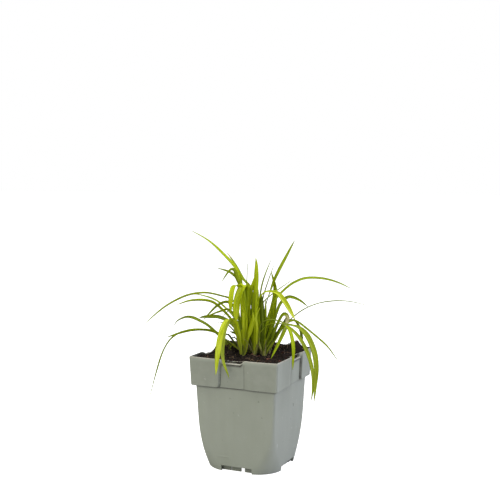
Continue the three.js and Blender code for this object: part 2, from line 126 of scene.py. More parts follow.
floor_paint, tree = new_material("floor_paint")
seen = add_node(tree, "ShaderNodeLightPath").outputs["Is Camera Ray"]
show(add_node(tree, "ShaderNodeBsdfPrincipled", {
    "Base Color": (0.5, 0.5, 0.5, 1), "Roughness": 0.9, "Specular IOR Level": 0.1,
    "Emission Color": (1, 1, 1, 1), "Emission Strength": seen,
}).outputs[0])
bm = bmesh.new()
bmesh.ops.create_grid(bm, x_segments=1, y_segments=1, size=FLOOR_HALF)
floor_mesh = bpy.data.meshes.new("floor")
bm.to_mesh(floor_mesh)
bm.free()
floor_mesh.materials.append(floor_paint)
floor = bpy.data.objects.new("floor", floor_mesh)
scene.collection.objects.link(floor)


# Pot. One injection moulding of grey recycled plastic about 1.3 mm thick: a square body that
# rounds off to its foot, under a folded collar whose sides are set back in their middles behind
# a label slot. Here a fine sheet is wrapped round it, from the floor inside, over the rim and
# down to the foot, and then floored, drilled and notched.
MM = 0.001
RIM_HEIGHT = 109
RIM_HALF = 45
CORNER_RADIUS = 2
RIM_SAG = 0.5
LIP = 1.4
COLLAR_BOTTOM = 81.3
COLLAR_TAPER = 1.2
SKIRT_TOP = 84.4
BODY_TOP_HALF = 40.9
BODY_FOOT_HALF = 37
BODY_TOP_RADIUS = 2.6
BODY_FOOT_RADIUS = 24.6
ROUNDING_ENDS_AT = 50
ROUNDING_POWER = 2.2
WALL = 1.3
FLOOR_TOP = 7
FLOOR_UNDERSIDE = 5.3
LEDGE = 86
PROUD_END = -13.3
PROUD = 0.5
PANEL_ROUNDING = 2.6
SETBACK = 1.8
GROOVE_WIDE = 0.65
GROOVE_DEEP = 0.6
PANEL_LEANS = (2.8, 0, 0, 0)
LEAN_SPREAD = 6
STEP_WIDE = 0.35
RAMP_START = 11
RAMP_END = 18.5
RAMP_EASE = 0.35
SLOT_INNER = 39.6
SLOT_END = 9.5
SLOT_FLOOR = 96
INNER_DIP = 1.6
OUTER_DIPS = (3.3, 4.2, 3.3, 4.2)
FOOT_WALL = 2.2
NOTCH_HALF = 15.7
DRAIN_HOLES = 8
DRAIN_RADIUS = 3.5
DRAIN_RING = 22
SIDE_NOTCH_TOP = 4.5
RIB_THICK = 1.3
RIB_SETBACK = 4
STUB_SETBACK = 2.3
SIDE_SHIFTS = (0, 6, 0, 6)
STANDING_RIBS = ((-18, -7, 0), (-6.5, 3.3, 0), (7, 19, 0))
HANGING_STUBS = ((-10, -0.8, 1.9), (0, 7.6, 1.4), (9, 17, 0.8))
MOULD_LINE = 14
MOULD_RIDGE = 0.14
QUARTERS = ((1, 0), (0, 1), (-1, 0), (0, -1))
# Painted shade at the pot's corners.
CORNER_SHADE = 0.16
# Painted shade in the groove beside each side's proud panel.
GROOVE_SHADES = (0.3, 0.7, 0.4, 0.4)
# Painted shade under the collar's edge, weaker on the right side.
SKIRT_SHADES = (0.85, 0.2, 0.85, 0.85)
# Painted shade over the collar's face, strongest on the front.
COLLAR_SHADES = (0.15, 0, 0.08, 0.08)
# Painted shade along the crease where the ramp starts.
CREASE_SHADE = 0.55
CREASE_WIDE = 0.55
# A painted highlight, partly rubbed wear, on the lip edges.
RUBBED_LIP_HIGHLIGHT = -0.7
RUBBED_RIM_HIGHLIGHT = -0.35
CORNER_STEPS = 12
COLUMN_ENDS = (-18.6, -12.2, 6, 14, 20)
COLUMN_COUNTS = (10, 34, 11, 12, 6, 10)
INSIDE_LEVELS = (FLOOR_TOP, 8, 10, 14, 20, 27, 36, 47, 60, 74, LEDGE)
BODY_LEVELS = (
    82, 81, 80.5, 80, 79.2, 75, 69, 62, 55, 49, 44, 39.5, 35.5, 32, 28.5, 25.5, 22.5, 20, 17.5, 15.5,
    MOULD_LINE + 0.4, MOULD_LINE, MOULD_LINE - 0.4, 11.5, 10, 8.4, 7, 5.6, 4.4, 3.2, 2.1, 1.2, 0.5,
)
FACE_SHARES = (0.08, 0.2, 0.35, 0.5, 0.65, 0.78, 0.86, 0.9, 0.93, 0.96, 0.98, 1)


def smooth(low, high, value):
    share = min(1, max(0, (value - low) / (high - low)))
    return share * share * (3 - 2 * share)


def plateau(rise, top, fall, end, value):
    """Rises from 0 to 1 between the first two values, and falls back between the last two."""
    return smooth(rise, top, value) * (1 - smooth(fall, end, value))


def mix(a, b, share):
    return a + (b - a) * share


def spaced(low, high, count):
    return [mix(low, high, i / count) for i in range(count)]


def body_half(z):
    return mix(BODY_FOOT_HALF, BODY_TOP_HALF, z / COLLAR_BOTTOM)


def body_radius(z):
    return mix(BODY_TOP_RADIUS, BODY_FOOT_RADIUS, max(0, 1 - z / ROUNDING_ENDS_AT) ** ROUNDING_POWER)


def panel_end(z):
    """Where the proud panel stops, which is rounded off at its lower corner."""
    cut = min(PANEL_ROUNDING, max(0, PANEL_ROUNDING - (z - COLLAR_BOTTOM)))
    return PROUD_END - PANEL_ROUNDING + math.sqrt(PANEL_ROUNDING ** 2 - cut ** 2)


def collar_face(s, z):
    """How far out the collar's face is. Along a side, s runs from its proud corner to its plain one."""
    plain = RIM_HALF - COLLAR_TAPER * (RIM_HEIGHT - z) / (RIM_HEIGHT - COLLAR_BOTTOM)
    step = smooth(panel_end(z), panel_end(z) + STEP_WIDE, s)
    run = min(1, max(0, (s - RAMP_START) / (RAMP_END - RAMP_START)))
    ramp = mix(run, smooth(0, 1, run), RAMP_EASE)
    return plain + PROUD - (PROUD + SETBACK) * step + SETBACK * ramp


def groove_share(s, z):
    """1 in the narrow groove beside the proud panel."""
    start = panel_end(z) + 0.1
    return plateau(start, start + 0.3, start + GROOVE_WIDE, start + GROOVE_WIDE + 0.25, s)


def shaded_step_share(s, z):
    """1 from the proud panel's edge to the far side of the groove, where shade is painted."""
    start = panel_end(z) - 0.1
    return plateau(start, start + 0.2, start + GROOVE_WIDE, start + GROOVE_WIDE + 0.5, s)


def leaned(s, z, side):
    """Where a point would lie if the proud panel's edge stood upright: the front's leans out."""
    down = (RIM_HEIGHT - z) / (RIM_HEIGHT - COLLAR_BOTTOM)
    return s + PANEL_LEANS[side] * down * math.exp(-((s - PROUD_END) / LEAN_SPREAD) ** 2)


def slot_share(s):
    """1 where the label slot is, and 0 in the panels beside it."""
    return plateau(PROUD_END + 0.3, PROUD_END + 1.1, SLOT_END - 0.6, SLOT_END + 1, s)


def inner_face(s, z):
    return mix(collar_face(s, z) - LIP, SLOT_INNER, slot_share(s))


def steps_from(out, z, *steps):
    return [(out + a, z + b) for a, b in steps]


def rim_rows(s, dip):
    """The rim's section: one rounded lip, or the slot's two lips with a bead along the outer one."""
    face = collar_face(s, RIM_HEIGHT)
    top = RIM_HEIGHT - RIM_SAG * (1 - (s / RIM_HALF) ** 2)
    dipped = plateau(PROUD_END, PROUD_END + 0.8, 6.5, 13, s)
    inner = top - INNER_DIP * dipped
    outer = top - dip * dipped
    back = face - LIP
    lip = steps_from(back, inner, (0, -1.2), (0, -0.5), (0.15, -0.15), (0.5, 0))
    lip += [(mix(back + 0.5, face - 0.5, f), mix(inner, outer, f)) for f in spaced(0.05, 1, 10)]
    lip += steps_from(face, outer, (-0.5, 0), (-0.15, -0.15), (0, -0.5), (0, -1.2), (0, -1.75), (0, -2.1))
    near = SLOT_INNER + WALL
    far = face - WALL
    slot = steps_from(SLOT_INNER, inner, (0, -1.2), (0, -0.5), (0.15, -0.15), (0.45, 0))
    slot += steps_from(near, inner, (-0.5, 0), (-0.15, -0.12), (0, -0.5), (0, -2))
    slot += [(near, SLOT_FLOOR), (far, SLOT_FLOOR)]
    slot += steps_from(far, outer, (0, -2), (0, -0.5), (0.15, -0.12), (0.45, 0))
    slot += steps_from(face, outer, (-0.35, 0), (0.2, -0.2), (0.55, -0.6), (0.55, -1.1))
    slot += steps_from(face, outer, (-0.2, -1.4), (-0.2, -2.2))
    share = slot_share(s)
    return [(mix(a, c, share), mix(b, d, share)) for (a, b), (c, d) in zip(lip, slot)]


def wall_rows(s, side, corner):
    """The pot's whole section as (out, height, corner radius, painted light and wear), from the floor
    inside, over the rim and down the outside to the underside of the floor. Corner is 1 at a corner's
    middle. The last value above 0 darkens the plastic with painted shade, and below 0 it pales an edge
    with a painted highlight that is partly rubbed wear."""
    rows = [(body_half(z) - WALL, z, max(0.8, body_radius(z) - WALL), 1) for z in INSIDE_LEVELS]
    rows += [(inner_face(leaned(s, z, side), z), z, 0.6, 1) for z in (LEDGE + 0.5, 90, 95, 100, 104)]
    rim = rim_rows(s, OUTER_DIPS[side])
    slot = slot_share(s)
    # Painted shade on the inside of the lip above the soil, down in the label slot and along the line under
    # the slot's bead; a painted highlight, partly rubbed wear, on the lip edges.
    painted_light_and_wear = [1, 1, 0.9, 0.6, 0.3, 0.1] + [0] * (len(rim) - 6)
    for i in range(2, 5):
        painted_light_and_wear[i] = mix(painted_light_and_wear[i], RUBBED_LIP_HIGHLIGHT, slot)
    for i in range(5, 12):
        painted_light_and_wear[i] = max(painted_light_and_wear[i], slot)
    painted_light_and_wear[-6:-3] = [RUBBED_RIM_HIGHLIGHT] * 3
    painted_light_and_wear[-1] = painted_light_and_wear[-2] = 0.9 * slot
    for (out, z), row_painted_light_and_wear in zip(rim, painted_light_and_wear):
        rows.append((out, z, max(0.6, CORNER_RADIUS + out - collar_face(s, z)), row_painted_light_and_wear))
    for share in FACE_SHARES:
        z = mix(rim[-1][1], COLLAR_BOTTOM + 0.6, share)
        t = leaned(s, z, side)
        groove = groove_share(t, z)
        # Painted shade along the crease, in the groove, at the corner, over the collar's face and just
        # under the slot's bead.
        crease_shade = CREASE_SHADE * math.exp(-((s - RAMP_START) / CREASE_WIDE) ** 2)
        collar_shade = COLLAR_SHADES[side] * (1 - corner)
        row_painted_light_and_wear = max(GROOVE_SHADES[side] * shaded_step_share(t, z), CORNER_SHADE * corner, crease_shade, collar_shade)
        row_painted_light_and_wear = max(row_painted_light_and_wear, 0.9 * slot * (1 - smooth(0, 0.1, share)))
        rows.append((collar_face(t, z) - GROOVE_DEEP * groove, z, CORNER_RADIUS, row_painted_light_and_wear))
    face = collar_face(leaned(s, COLLAR_BOTTOM, side), COLLAR_BOTTOM)
    behind = max(face - WALL, body_half(COLLAR_BOTTOM) + 0.03)
    # The collar's edge and the room behind its skirt, darkened with painted shade.
    rows += [
        (face - 0.12, COLLAR_BOTTOM + 0.2, CORNER_RADIUS, 0.1),
        (face - 0.4, COLLAR_BOTTOM, CORNER_RADIUS, 0.5),
        (max(face - 0.9, behind + 0.1), COLLAR_BOTTOM, 1.4, 1),
        (behind, COLLAR_BOTTOM + 0.3, 1.2, 1),
        (max(behind, body_half(SKIRT_TOP) + 0.02), SKIRT_TOP - 0.3, 1.2, 1),
    ]
    for z in (SKIRT_TOP,) + BODY_LEVELS:
        ridge = MOULD_RIDGE * plateau(-34, -30, -16, -12, s) if z == MOULD_LINE else 0
        # Painted shade just under the collar, and at the corners higher up the body.
        row_painted_light_and_wear = max(SKIRT_SHADES[side] * smooth(79.3, 81, z), CORNER_SHADE * corner * smooth(30, 60, z))
        rows.append((body_half(z) + ridge, z, body_radius(z), row_painted_light_and_wear))
    foot = BODY_FOOT_HALF
    radius = BODY_FOOT_RADIUS
    # The foot's bottom and inside, darkened with painted shade.
    rows += [(foot - 0.3, 0, radius, 0.5), (foot - FOOT_WALL + 0.3, 0, radius - FOOT_WALL, 0.6)]
    return rows + [(foot - FOOT_WALL, z, radius - FOOT_WALL, 0.7) for z in (0.3, FLOOR_UNDERSIDE)]


def pot_columns():
    """Round the pot: (side, share of its straight part, turn into the corner after it)."""
    straight = RIM_HALF - CORNER_RADIUS
    columns = []
    for side, shift in enumerate(SIDE_SHIFTS):
        towards = -1 if side % 2 else 1
        ends = (-straight, *(end - shift for end in COLUMN_ENDS), straight)
        places = [straight]
        for start, end, count in zip(ends, ends[1:], COLUMN_COUNTS):
            places += spaced(start, end, count)
        shares = sorted(towards * place / straight for place in places)
        columns += [(side, share, 0) for share in shares]
        columns += [(side, 1, math.pi / 2 * i / CORNER_STEPS) for i in range(1, CORNER_STEPS)]
    return columns


def on_side(side, along, out):
    """A place beside the pot, measured as if that side were the front."""
    cos, sin = QUARTERS[side]
    return along * cos + out * sin, along * sin - out * cos


def plan_point(column, half, radius):
    side, share, turn = column
    along = share * (half - radius) + radius * math.sin(turn)
    return on_side(side, along, half - radius * (1 - math.cos(turn)))


def loop_at(bm, height):
    """The open edges of a mesh that lie at one height."""
    level = (e for e in bm.edges if all(abs(v.co.z - height) < 0.01 for v in e.verts))
    return [e for e in level if not e.is_manifold]


def finish_mesh(bm, name, material, sharp_over=38):
    """Scales a mesh from millimetres to metres and makes it a smooth-shaded piece."""
    bmesh.ops.scale(bm, vec=(MM, MM, MM), verts=bm.verts)
    mesh = bpy.data.meshes.new(name)
    bm.to_mesh(mesh)
    bm.free()
    mesh.materials.append(material)
    mesh.shade_smooth()
    mesh.set_sharp_from_angle(angle=math.radians(sharp_over))
    piece = bpy.data.objects.new(name, mesh)
    scene.collection.objects.link(piece)
    return piece


def wrap_pot(bm):
    columns = pot_columns()
    sections = []
    for side, share, turn in columns:
        towards = -1 if side % 2 else 1
        s = towards * (share * (RIM_HALF - CORNER_RADIUS) if turn == 0 else RIM_HALF) + SIDE_SHIFTS[side]
        sections.append(wall_rows(s, side, math.sin(2 * turn) ** 2))
    rows = len(sections[0])
    # Each vertex carries its row's painted shade, or its painted highlight that is partly rubbed wear.
    painted_light_and_wear_layer = bm.verts.layers.float.new("painted_light_and_wear")
    bmesh.ops.create_grid(bm, x_segments=len(columns), y_segments=rows - 1, size=1)
    for vertex in bm.verts:
        i = round((vertex.co.x + 1) / 2 * len(columns)) % len(columns)
        j = round((vertex.co.y + 1) / 2 * (rows - 1))
        half, z, radius, vertex[painted_light_and_wear_layer] = sections[i][j]
        vertex.co = (*plan_point(columns[i], half, radius), z)
    bmesh.ops.remove_doubles(bm, verts=bm.verts, dist=0.001)
    bmesh.ops.dissolve_degenerate(bm, edges=bm.edges, dist=0.001)


def floor_pot(bm):
    """Closes the pot at both faces of its floor, round a ring of drain holes."""
    for hole in range(DRAIN_HOLES):
        turn = hole * 2 * math.pi / DRAIN_HOLES
        centre = (DRAIN_RING * math.cos(turn), DRAIN_RING * math.sin(turn), FLOOR_UNDERSIDE)
        place = Matrix.Translation(centre)
        ring = bmesh.ops.create_circle(bm, segments=24, radius=DRAIN_RADIUS, matrix=place)
        edges = list({edge for vertex in ring["verts"] for edge in vertex.link_edges})
        wall = bmesh.ops.extrude_edge_only(bm, edges=edges)
        raised = [v for v in wall["geom"] if isinstance(v, bmesh.types.BMVert)]
        bmesh.ops.translate(bm, verts=raised, vec=(0, 0, FLOOR_TOP - FLOOR_UNDERSIDE))
    for height in (FLOOR_UNDERSIDE, FLOOR_TOP):
        bmesh.ops.triangle_fill(bm, use_beauty=True, edges=loop_at(bm, height), normal=(0, 0, 1))
    bmesh.ops.recalc_face_normals(bm, faces=bm.faces)


def side_block(bm, side, size, centre):
    """A block along one side of the pot, placed as if that side were the front."""
    block = bmesh.ops.create_cube(bm, size=1)["verts"]
    bmesh.ops.scale(bm, vec=size, verts=block)
    bmesh.ops.translate(bm, vec=centre, verts=block)
    cos, sin = QUARTERS[side]
    turned = Matrix(((cos, -sin, 0), (sin, cos, 0), (0, 0, 1)))
    bmesh.ops.transform(bm, matrix=turned.to_4x4(), verts=block)
    return block


def notch_foot(pot):
    """Cuts a wide low notch through the foot wall under each side."""
    bm = bmesh.new()
    for side in range(4):
        top = SIDE_NOTCH_TOP if side % 2 else FLOOR_UNDERSIDE
        side_block(bm, side, (2 * NOTCH_HALF, 8, top + 1), (0, -BODY_FOOT_HALF, (top - 1) / 2))
    edges = [e for e in bm.edges if abs(e.verts[0].co.z - e.verts[1].co.z) > 1]
    bmesh.ops.bevel(bm, geom=edges, offset=0.6, segments=2, profile=0.5, affect="EDGES", material=-1)
    cutter = finish_mesh(bm, "cutter", pot_plastic)
    cut = pot.modifiers.new("notches", "BOOLEAN")
    cut.operation = "DIFFERENCE"
    cut.solver = "EXACT"
    cut.object = cutter
    shown = pot.evaluated_get(bpy.context.evaluated_depsgraph_get())
    pot.data = bpy.data.meshes.new_from_object(shown)
    pot.modifiers.clear()
    bpy.data.objects.remove(cutter)


def make_ribs(bm):
    """Short ribs behind the front and back notches, and low stubs close behind the other two."""
    painted_light_and_wear_layer = bm.verts.layers.float.new("painted_light_and_wear")
    top = FLOOR_UNDERSIDE + 0.5
    for side in range(4):
        setback = STUB_SETBACK if side % 2 else RIB_SETBACK
        y = -(BODY_FOOT_HALF - setback - RIB_THICK / 2)
        for start, end, bottom in HANGING_STUBS if side % 2 else STANDING_RIBS:
            size = (end - start, RIB_THICK, top - bottom)
            rib = side_block(bm, side, size, ((start + end) / 2, y, (top + bottom) / 2))
            # Painted shade under the pot: dark on the stubs, faint on the ribs.
            for vertex in rib:
                vertex[painted_light_and_wear_layer] = 0.85 if side % 2 else 0.2
    edges = [e for e in bm.edges if min(v.co.z for v in e.verts) < FLOOR_UNDERSIDE]
    bmesh.ops.bevel(bm, geom=edges, offset=0.25, segments=2, profile=0.5, affect="EDGES", material=-1)


def speckled(place, scale, detail):
    """Noise of one scale over a place."""
    inputs = {"Vector": place, "Scale": scale, "Detail": detail}
    return add_node(place.id_data, "ShaderNodeTexNoise", inputs).outputs["Fac"]


def ranged(value, low, high, first=0.0, last=1.0, curve="LINEAR"):
    """Moves a value from one range to another, and keeps it there."""
    return add_node(value.id_data, "ShaderNodeMapRange", {
        "Value": value, "From Min": low, "From Max": high, "To Min": first, "To Max": last,
    }, interpolation_type=curve).outputs["Result"]


def mixed(factor, a, b, kind="MIX"):
    """Mixes two colours, or lays one over the other in another way."""
    tree = next(v.id_data for v in (factor, a) if isinstance(v, bpy.types.NodeSocket))
    return add_node(tree, "ShaderNodeMix", {
        "Factor": factor, "A": a, "B": b,
    }, data_type="RGBA", blend_type=kind).outputs["Result"]


def skinned(color, roughness, specular, height, strength, deep=0.0003):
    """A surface with a fine relief: its shader, and the relief's normal."""
    relief = add_node(color.id_data, "ShaderNodeBump", {
        "Strength": strength, "Distance": deep, "Height": height,
    }).outputs["Normal"]
    return add_node(color.id_data, "ShaderNodeBsdfPrincipled", {
        "Base Color": color, "Roughness": roughness, "Specular IOR Level": specular, "Normal": relief,
    }).outputs[0], relief


# The plastic is matt and slightly cloudy, with faint upright streaks from the mould, a fine grain
# from what was recycled into it, and small scuffs and stains. Painted shade darkens it in its grooves
# and slot, under the collar and its bead, at its corners, over the front of the collar, along the
# ramp's crease and under the foot, and a painted highlight, partly rubbed wear, pales its lip edges.
pot_plastic, tree = new_material("pot_plastic")
place = add_node(tree, "ShaderNodeTexCoord").outputs["Object"]
upright = add_node(tree, "ShaderNodeMapping", {"Vector": place, "Scale": (1, 1, 0.15)})
streaks = speckled(upright.outputs[0], 110, 3)
clouds = speckled(place, 45, 4)
grain = speckled(place, 900, 2)
scuffs = speckled(place, 190, 3)
plastic = mixed(clouds, (0.228, 0.248, 0.196, 1), (0.262, 0.280, 0.232, 1))
plastic = mixed(1, plastic, ranged(streaks, 0.3, 0.7, 0.97, 1.03), "MULTIPLY")
plastic = mixed(ranged(scuffs, 0.7, 0.78, 0, 0.35), plastic, (0.45, 0.47, 0.42, 1))
plastic = mixed(ranged(scuffs, 0.275, 0.21, 0, 0.6), plastic, (0.06, 0.06, 0.04, 1))
# The painted shade, and the painted highlight that is partly rubbed wear, that each vertex carries.
painted_light_and_wear = add_node(tree, "ShaderNodeAttribute", attribute_name="painted_light_and_wear").outputs["Fac"]
worn_and_highlit, painted_shade = (
    add_node(tree, "ShaderNodeMath", {0: painted_light_and_wear, 1: by}, operation="MULTIPLY", use_clamp=True)
    for by in (-1, ranged(scuffs, 0.35, 0.65, 0.7, 1.1))
)
# A pale painted highlight, partly rubbed wear, and a dark painted shade.
plastic = mixed(worn_and_highlit.outputs[0], plastic, (0.40, 0.33, 0.28, 1))
plastic = mixed(painted_shade.outputs[0], plastic, (0.028, 0.024, 0.018, 1))
rough = ranged(clouds, 0.3, 0.7, 0.48, 0.62)
skin, _ = skinned(plastic, rough, 0.4, grain, 0.08)
show(skin)

bm = bmesh.new()
wrap_pot(bm)
floor_pot(bm)
pot = finish_mesh(bm, "nursery_pot", pot_plastic)
notch_foot(pot)
pot.data.set_sharp_from_angle(angle=math.radians(38))
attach(pot, "root")
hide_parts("pot")

bm = bmesh.new()
make_ribs(bm)
ribs = finish_mesh(bm, "foot_ribs", pot_plastic)
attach(ribs, "root")
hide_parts("pot")


# Soil. Dark potting peat that fills the pot to about 3 mm under its rim, heaped on the left and
# behind the clump where it was pressed in round the roots. A fine sheet follows the lumps, and
# its edge goes down inside the wall to the pot's floor.
SOIL_LEVEL = 105.9
SOIL_GAP = 0.2
HEAPS = (
    (-27, 4, 9.5, 7), (-36, -1, 6.5, 5.5), (4, 27, 11, 7.5),
    (35, 31, 10, 6), (20, 36, 4, 8), (0, 2, 1.2, 12),
)
CROWNS = {
    "front_left": (-6, -8), "left": (-11, 2), "left_back": (-15, 11), "back_left": (-3, 9),
    "middle": (3.5, -1), "right": (8, 5), "right_back": (13, 11), "right_front": (14, -2), "back": (4, 17),
}
SOIL_CELLS = 124
COARSE_ROUGHNESS = 0.9
FINE_ROUGHNESS = 0.55
SUNK_LEVELS = (104, 98, 92, LEDGE + 1)
ROOT_LEVELS = (LEDGE, 60, 47, 36, 27, 20, 14, 10, FLOOR_TOP + SOIL_GAP)


def soil_height(x, y):
    """Height of the soil without its crumbs: level at the walls and round each crown."""
    from_wall = RIM_HALF - 1 - max(abs(x), abs(y))
    from_crown = min(math.hypot(x - cx, y - cy) for cx, cy in CROWNS.values())
    lumps = 0.5 * math.sin(0.9 * x + 1.3) * math.sin(0.8 * y) + 0.4 * math.sin(0.5 * x - 0.6 * y)
    height = SOIL_LEVEL + smooth(0, 9, from_wall) * lumps
    open_ground = smooth(0, 9, from_wall) * smooth(4, 11, from_crown)
    for heap_x, heap_y, rise, spread in HEAPS:
        away = math.hypot(x - heap_x, y - heap_y) / spread
        height += open_ground * rise * math.exp(-away * away / 2)
    return height


def soil_top(x, y):
    """The same with the peat's own roughness."""
    coarse = noise.fractal(Vector((x, y, 0)) * 0.16, 0.9, 2.0, 3)
    fine = noise.fractal(Vector((x, y, 40)) * 0.7, 0.7, 2.1, 4)
    return soil_height(x, y) + COARSE_ROUGHNESS * coarse + FINE_ROUGHNESS * fine


def soil_plan(u, v):
    """Fits the square from -1 to 1 into the collar, round the backs of its four slots."""
    reach = RIM_HALF - CORNER_RADIUS
    across = inner_face((-v if u > 0 else v) * reach + SIDE_SHIFTS[1], SOIL_LEVEL) - SOIL_GAP
    s = (-u if v > 0 else u) * reach + SIDE_SHIFTS[0]
    along = inner_face(leaned(s, LEDGE, 2 if v > 0 else 0), SOIL_LEVEL) - SOIL_GAP
    return u * across, v * along


def rounded_plan(u, v, half, radius):
    """A place on the square from -1 to 1 moved to a rounded square."""
    x, y = u * half, v * half
    over_x = max(0, abs(x) - half + radius)
    over_y = max(0, abs(y) - half + radius)
    over = math.hypot(over_x, over_y)
    if over <= radius:
        return x, y
    return (
        math.copysign(half - radius + over_x * radius / over, x) if over_x else x,
        math.copysign(half - radius + over_y * radius / over, y) if over_y else y,
    )


potting_peat, tree = new_material("potting_peat")
place = add_node(tree, "ShaderNodeTexCoord").outputs["Object"]
clods = speckled(place, 160, 6)
fibres = speckled(place, 900, 4)
peat = mixed(ranged(clods, 0.32, 0.72), (0.0035, 0.0022, 0.0014, 1), (0.017, 0.0095, 0.0055, 1))
peat = mixed(ranged(fibres, 0.62, 0.75, 0, 0.8), peat, (0.05, 0.024, 0.013, 1))
skin, _ = skinned(peat, 0.95, 0.2, fibres, 0.7, 0.0006)
show(skin)

bm = bmesh.new()
bmesh.ops.create_grid(bm, x_segments=SOIL_CELLS, y_segments=SOIL_CELLS, size=1)
square_place = bm.verts.layers.float_vector.new("square_place")
for vertex in bm.verts:
    vertex[square_place] = vertex.co
    x, y = soil_plan(vertex.co.x, vertex.co.y)
    vertex.co = (x, y, soil_top(x, y))
edge = [e for e in bm.edges if e.is_boundary]
for level in SUNK_LEVELS + ROOT_LEVELS:
    lower = bmesh.ops.extrude_edge_only(bm, edges=edge)["geom"]
    edge = [e for e in lower if isinstance(e, bmesh.types.BMEdge) and e.is_boundary]
    for vertex in (v for v in lower if isinstance(v, bmesh.types.BMVert)):
        u, v, _ = vertex[square_place]
        if level > LEDGE:
            vertex.co = (*soil_plan(u, v), level)
        else:
            half = body_half(level) - WALL - SOIL_GAP
            vertex.co = (*rounded_plan(u, v, half, max(0.8, body_radius(level) - WALL)), level)
bmesh.ops.edgeloop_fill(bm, edges=edge)
bm.verts.layers.float_vector.remove(square_place)
bmesh.ops.recalc_face_normals(bm, faces=bm.faces)
soil = finish_mesh(bm, "peat_surface", potting_peat, 80)
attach(soil, "root")
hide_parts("soil")


# Crumbs. What lies loose on the peat: crumbs and clods of it, chips of reddish bark, straw and
# root fibres, and a few pale specks. Each is a small coarse lump, because there are hundreds.
CRUMBS = 1500
CLODS = 170
CHIPS = 80
SPECKS = 30
FIBRES = 100
FIBRE_CELL = 1.6
FIBRE_REACH = RIM_HALF - 6
CURVE_STEPS = 24
SLOT_CRUMBS = 200
SLOT_SPECKS = 36


def lump(faces, stretch, rough, seed):
    """A small uneven stone of unit size, as a mesh that scatter copies."""
    bm = bmesh.new()
    bmesh.ops.create_icosphere(bm, subdivisions=faces, radius=0.5)
    for vertex in bm.verts:
        push = noise.noise(vertex.co * 2.3 + Vector((seed, 0, 0)))
        vertex.co = Vector(a * b for a, b in zip(vertex.co, stretch)) * (1 + rough * push)
    mesh = bpy.data.meshes.new("lump")
    bm.to_mesh(mesh)
    bm.free()
    return mesh


def on_soil(draws):
    """A random place on the soil, clear of the walls."""
    u, v = draws.uniform(-0.97, 0.97), draws.uniform(-0.97, 0.97)
    x, y = soil_plan(u, v)
    return Vector((x, y, soil_top(x, y)))


def plain_finish(name, dark, light, scale, roughness):
    """A dull finish that varies between two colours from one crumb or fibre to the next."""
    material, tree = new_material(name)
    place = add_node(tree, "ShaderNodeTexCoord").outputs["Object"]
    patches = speckled(place, scale, 3)
    color = mixed(ranged(patches, 0.35, 0.65), (*dark, 1), (*light, 1))
    skin, _ = skinned(color, roughness, 0.25, patches, 0.4)
    show(skin)
    return material


def place_lump(bm, shapes, size, place, draws):
    """Adds a copy of one of the lumps, turned at random."""
    angle = draws.uniform(0, 6.28)
    turn = Matrix.Rotation(angle, 4, Vector(draws.gauss(0, 1) for _ in "xyz").normalized())
    copy = draws.choice(shapes).copy()
    copy.transform(Matrix.Translation(place) @ turn @ Matrix.Scale(size, 4))
    bm.from_mesh(copy)
    bpy.data.meshes.remove(copy)


def scatter(bm, shapes, count, sizes, draws, sink=0.15):
    """Strews lumps over the soil, more small ones than large, and each sunk in a little."""
    for _ in range(count):
        size = mix(*sizes, draws.random() ** 2)
        place_lump(bm, shapes, size, on_soil(draws) + Vector((0, 0, size * (0.3 - sink))), draws)


def fill_slots(bm, shapes, count, size, draws):
    """Drops crumbs into the four label slots, where they lodge between the two lips."""
    for i in range(count):
        side = i % 4
        s = draws.uniform(PROUD_END + 1.5, SLOT_END - 0.5) - SIDE_SHIFTS[side]
        along = -s if side % 2 else s
        out = draws.uniform(SLOT_INNER + WALL - 0.2, RIM_HALF - SETBACK - WALL + 0.2)
        z = RIM_HEIGHT - draws.uniform(INNER_DIP + 0.3, OUTER_DIPS[side] + 0.5)
        place_lump(bm, shapes, size, Vector((*on_side(side, along, out), z)), draws)


draws = random.Random(11)
crumb_shapes = [lump(1, (1, 0.8, 0.7), 0.5, seed) for seed in range(5)]
clod_shapes = [lump(2, (1, 0.85, 0.6), 0.9, 10 + seed) for seed in range(5)]
chip_shapes = [lump(2, (1.5, 0.7, 0.22), 0.5, 20 + seed) for seed in range(4)]
bm = bmesh.new()
scatter(bm, crumb_shapes, CRUMBS, (0.5, 1.7), draws)
scatter(bm, clod_shapes, CLODS, (1.4, 4.2), draws)
fill_slots(bm, crumb_shapes, SLOT_CRUMBS, 1.1, draws)
crumbs = finish_mesh(bm, "peat_crumbs", potting_peat, 60)
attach(crumbs, "root")

bm = bmesh.new()
scatter(bm, chip_shapes, CHIPS, (1.2, 4), draws)
bark_finish = plain_finish("bark", (0.03, 0.011, 0.007), (0.12, 0.045, 0.025), 220, 0.8)
bark = finish_mesh(bm, "bark_chips", bark_finish)
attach(bark, "root")

bm = bmesh.new()
scatter(bm, crumb_shapes, SPECKS, (0.45, 1.2), draws, 0)
fill_slots(bm, crumb_shapes, SLOT_SPECKS, 0.8, draws)
husk_finish = plain_finish("husk", (0.16, 0.12, 0.07), (0.4, 0.35, 0.26), 300, 0.8)
specks = finish_mesh(bm, "pale_specks", husk_finish)
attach(specks, "root")
for mesh in crumb_shapes + clod_shapes + chip_shapes:
    bpy.data.meshes.remove(mesh)


